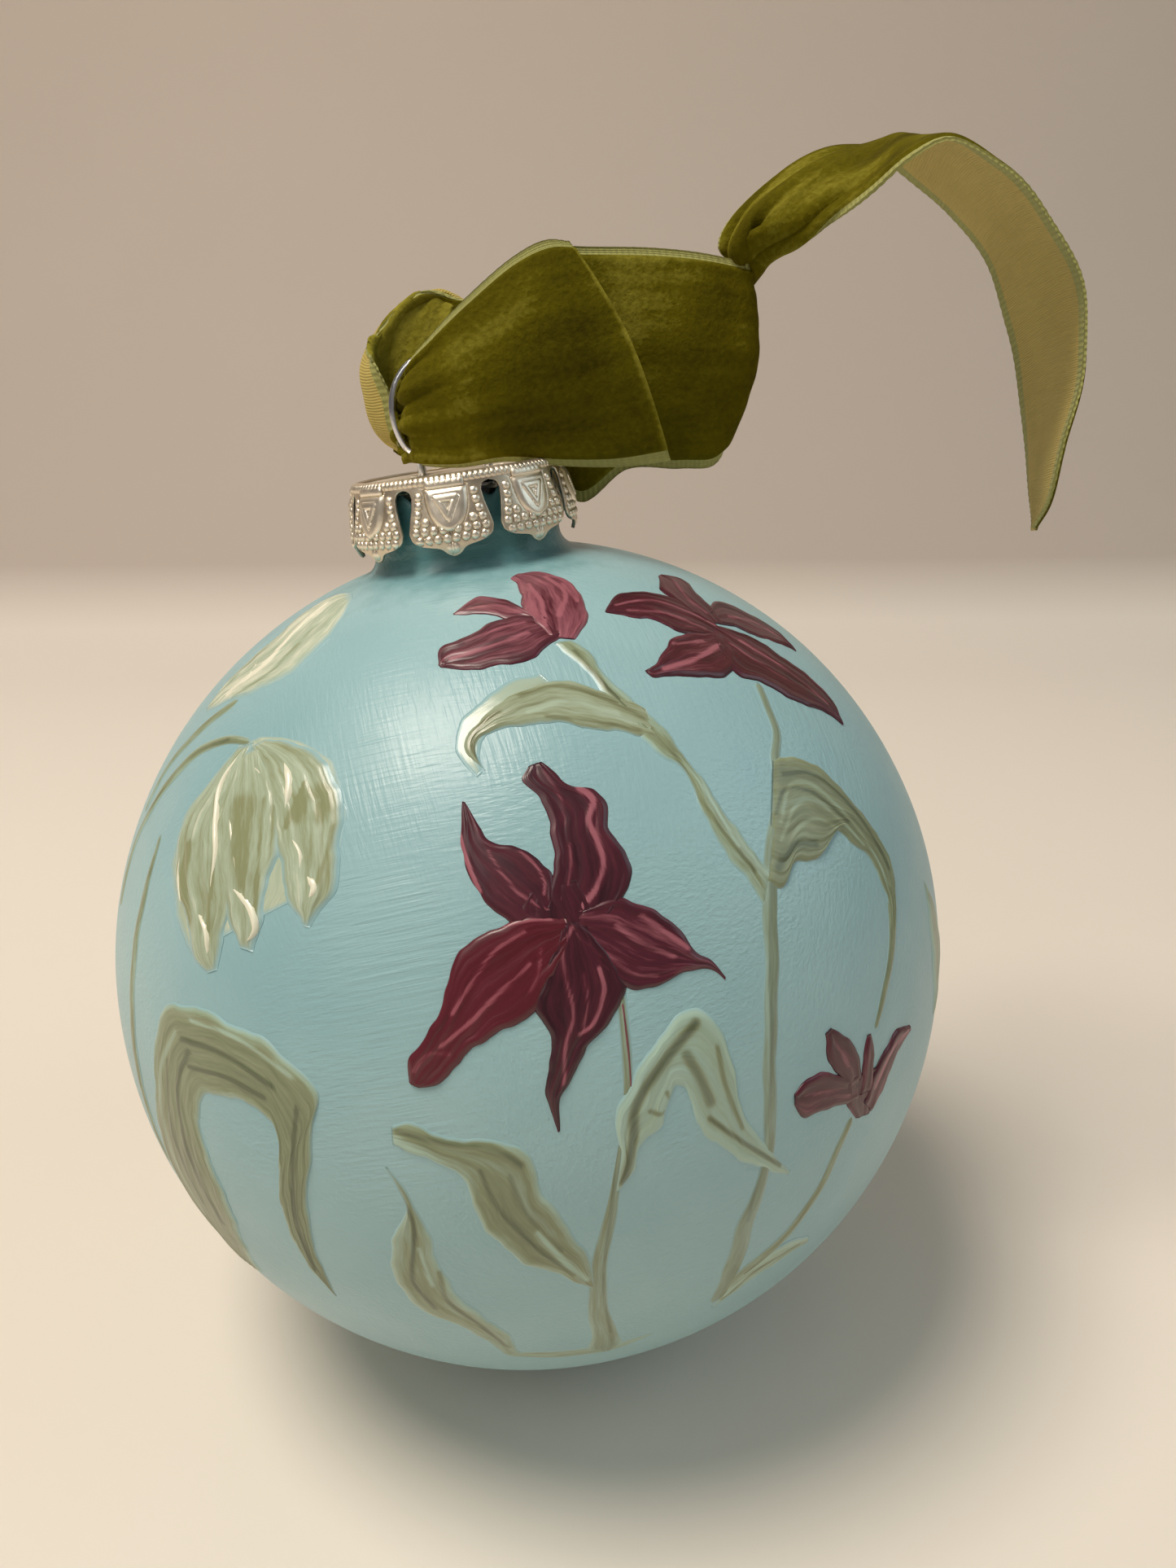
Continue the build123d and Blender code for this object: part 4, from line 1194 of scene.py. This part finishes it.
def paint_front(petals, green, cream, gold):
    """The side towards the viewer."""
    front = Map()
    paint(large_flower, "flower_large", petals, front, 11)
    paint(upper_flower, "flower_upper", petals, front, 12)
    paint(right_flower, "flower_right", petals, front, 13)
    paint(small_flower, "flower_small", petals, front, 14)
    paint(bell_flower, "bell_flower", cream, front, 15)
    paint(bud, "bud", cream, front, 16)
    paint(gold_leaf, "gold_leaf", gold, front, 20)
    for seed, leaf in enumerate((wavy_leaf, arched_leaf, low_leaf, curled_leaf, hooped_leaf), start=21):
        paint(leaf, leaf.__name__, green, front, seed)
    paint(stems, "stems_front", green, front, 31)


def paint_back(petals, green, cream, gold):
    """The side away from the viewer: the same kinds of flower, turned and mirrored, on their own stems."""
    left = Map(turn=-128, rise=18, spin=-6, mirror=True)
    paint(large_flower, "back_flower_large", petals, left, 41)
    paint(gold_leaf, "back_gold_leaf", gold, left, 42)
    paint(arched_leaf, "back_arched_leaf", green, left, 43)
    paint(low_leaf, "back_low_leaf", green, left, 44)
    paint(stems_of_back, "back_stems_left", green, left, 45)
    right = Map(turn=126, rise=20, spin=5)
    paint(upper_flower, "back_flower_upper", petals, right, 51)
    paint(gold_leaf, "back_gold_leaf_right", gold, right, 52)
    paint(low_leaf, "back_low_leaf_right", green, right, 53)
    paint(arched_leaf, "back_arched_leaf_right", green, right, 54)
    paint(stems_of_back, "back_stems_right", green, right, 55)
    paint(bell_flower, "back_bell_flower", cream, Map(turn=186, rise=12, spin=4), 56)
    paint(small_flower, "back_flower_small", petals, Map(turn=152, rise=14), 57)
    paint(wavy_leaf, "side_wavy_leaf", green, Map(turn=58, rise=22), 61)
    for seed, (side, turn) in enumerate((("right", 54), ("left", -54)), start=62):
        chart = Map(turn=turn, rise=3, mirror=side == "left")
        paint(small_flower, f"side_flower_{side}", petals, chart, seed)
        paint(small_stem, f"side_stem_{side}", green, chart, seed + 10)


# ---------------------------------------------------------------- floor and light

LEAN = Vector((0.133, -0.045, 1.0)).normalized()  # the ornament lies tipped, so the floor leans instead
FLOOR_HALF_WIDTH, FLOOR_FRONT, WALL_FOOT, WALL_BEND = 1600.0, -900.0, 260.0, 260.0
STANDS_OFF = 0.3  # from the coat to the floor, for the thick strokes


def make_stage():
    """A pale floor that sweeps up into a wall behind the ornament."""
    section = [(FLOOR_FRONT, 0.0), (-300.0, 0.0), (60.0, 0.0)]
    for a in np.linspace(0, math.pi / 2, 26):
        section.append((WALL_FOOT + WALL_BEND * math.sin(a), WALL_BEND - WALL_BEND * math.cos(a)))
    section += [(WALL_FOOT + WALL_BEND, WALL_BEND + up) for up in (300, 900)]
    points = [(x, y, z) for y, z in section for x in (-FLOOR_HALF_WIDTH, FLOOR_HALF_WIDTH)]
    floor = add_mesh("floor", points, grid_faces(len(section), 2), [stage_material()])
    turn = Vector((0, 0, 1)).rotation_difference(LEAN).to_matrix().to_4x4()
    heading = Matrix.Rotation(math.radians(-CAMERA_YAW), 4, "Z")
    rest = Vector((0, 0, CENTRE * MM)) - LEAN * (RADIUS + STANDS_OFF) * MM
    floor.matrix_world = Matrix.Translation(rest) @ turn @ heading


WARM, SOFT_WHITE, COOL = (1.0, 0.90, 0.78), (1.0, 0.96, 0.9), (0.76, 0.93, 1.0)
ROOM, ROOM_STRENGTH = (1.0, 0.93, 0.86, 1), 0.14
LIGHTS = [  # name, metres from the ball's centre, width in metres, watts and colour
    ("ceiling", (-0.16, -0.13, 0.72), 0.34, 4.8, WARM),
    ("front_left", (-0.6, -0.8, 0.92), 0.8, 1.95, SOFT_WHITE),
    ("right", (0.9, -0.2, 0.45), 0.7, 1.5, COOL),
    ("behind", (0.2, 0.75, 0.6), 0.7, 1.6, SOFT_WHITE),
]


def make_lights():
    """Four soft discs that face the ball, and a faint even light from all round."""
    centre = Vector((0, 0, CENTRE * MM))
    for name, away, size, power, colour in LIGHTS:
        data = bpy.data.lights.new(name, "AREA")
        data.shape, data.size, data.energy, data.color = "DISK", size, power, colour
        light = bpy.data.objects.new(name, data)
        bpy.context.scene.collection.objects.link(light)
        light.location = centre + Vector(away)
        light.rotation_mode = "QUATERNION"
        light.rotation_quaternion = (-Vector(away)).to_track_quat("-Z", "Y")
    world = bpy.data.worlds.new("room")
    world.use_nodes = True
    background = world.node_tree.nodes["Background"].inputs
    background["Color"].default_value = ROOM
    background["Strength"].default_value = ROOM_STRENGTH
    bpy.context.scene.world = world
    bpy.context.scene.view_settings.view_transform = "Standard"


# ---------------------------------------------------------------- putting it together


def give(node, material):
    """Puts a material on a CAD node that keeps its own shape."""
    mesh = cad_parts[node].data
    mesh.materials.clear()
    mesh.materials.append(material)


make_camera()
make_lights()
make_stage()

coat = make_coat(coat_material())
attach(coat, "ball")
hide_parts("ground_coat")
give("glass_ball", glass_material())

cap = freeze(make_cap(metal_material("cap_metal", (0.97, 0.89, 0.75), (0.70, 0.60, 0.46), 0.33)))
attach(cap, "cap")
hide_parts("crown_cap")

steel = wire_material()
for wire in ("wire_eye", "wire_leg_left", "wire_leg_right"):
    give(wire, steel)

woven_back = backing_material("ribbon_back", BACKING, ribs=150.0)
ribbon = make_ribbon(velvet_material(), woven_back, backing_material("ribbon_selvage", SELVAGE, ribs=60.0))
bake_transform(ribbon)
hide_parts("ribbon_front_end", "ribbon_eye_pass", "ribbon_side_loop", "ribbon_knot_back",
            "ribbon_tail_rise", "ribbon_tail_curl")

# low, middle and high tone of each paint, its warm tint and, where it is glossier, its roughness
petal_paint = paint_material(
    "petal_paint", (0.034, 0.006, 0.013), (0.09, 0.015, 0.028), (0.36, 0.12, 0.155), (0.22, 0.012, 0.025))
leaf_paint = paint_material(
    "leaf_paint", (0.4, 0.56, 0.46), (0.25, 0.295, 0.175), (0.11, 0.135, 0.075), (0.3, 0.26, 0.1))
gold_paint = paint_material(
    "gold_leaf_paint", (0.42, 0.52, 0.4), (0.28, 0.32, 0.2), (0.14, 0.15, 0.07), (0.4, 0.34, 0.13), 0.16)
cream_paint = paint_material(
    "cream_paint", (0.28, 0.31, 0.17), (0.44, 0.54, 0.41), (0.88, 0.88, 0.72), (0.5, 0.5, 0.3), 0.25)
paint_front(petal_paint, leaf_paint, cream_paint, gold_paint)
paint_back(petal_paint, leaf_paint, cream_paint, gold_paint)
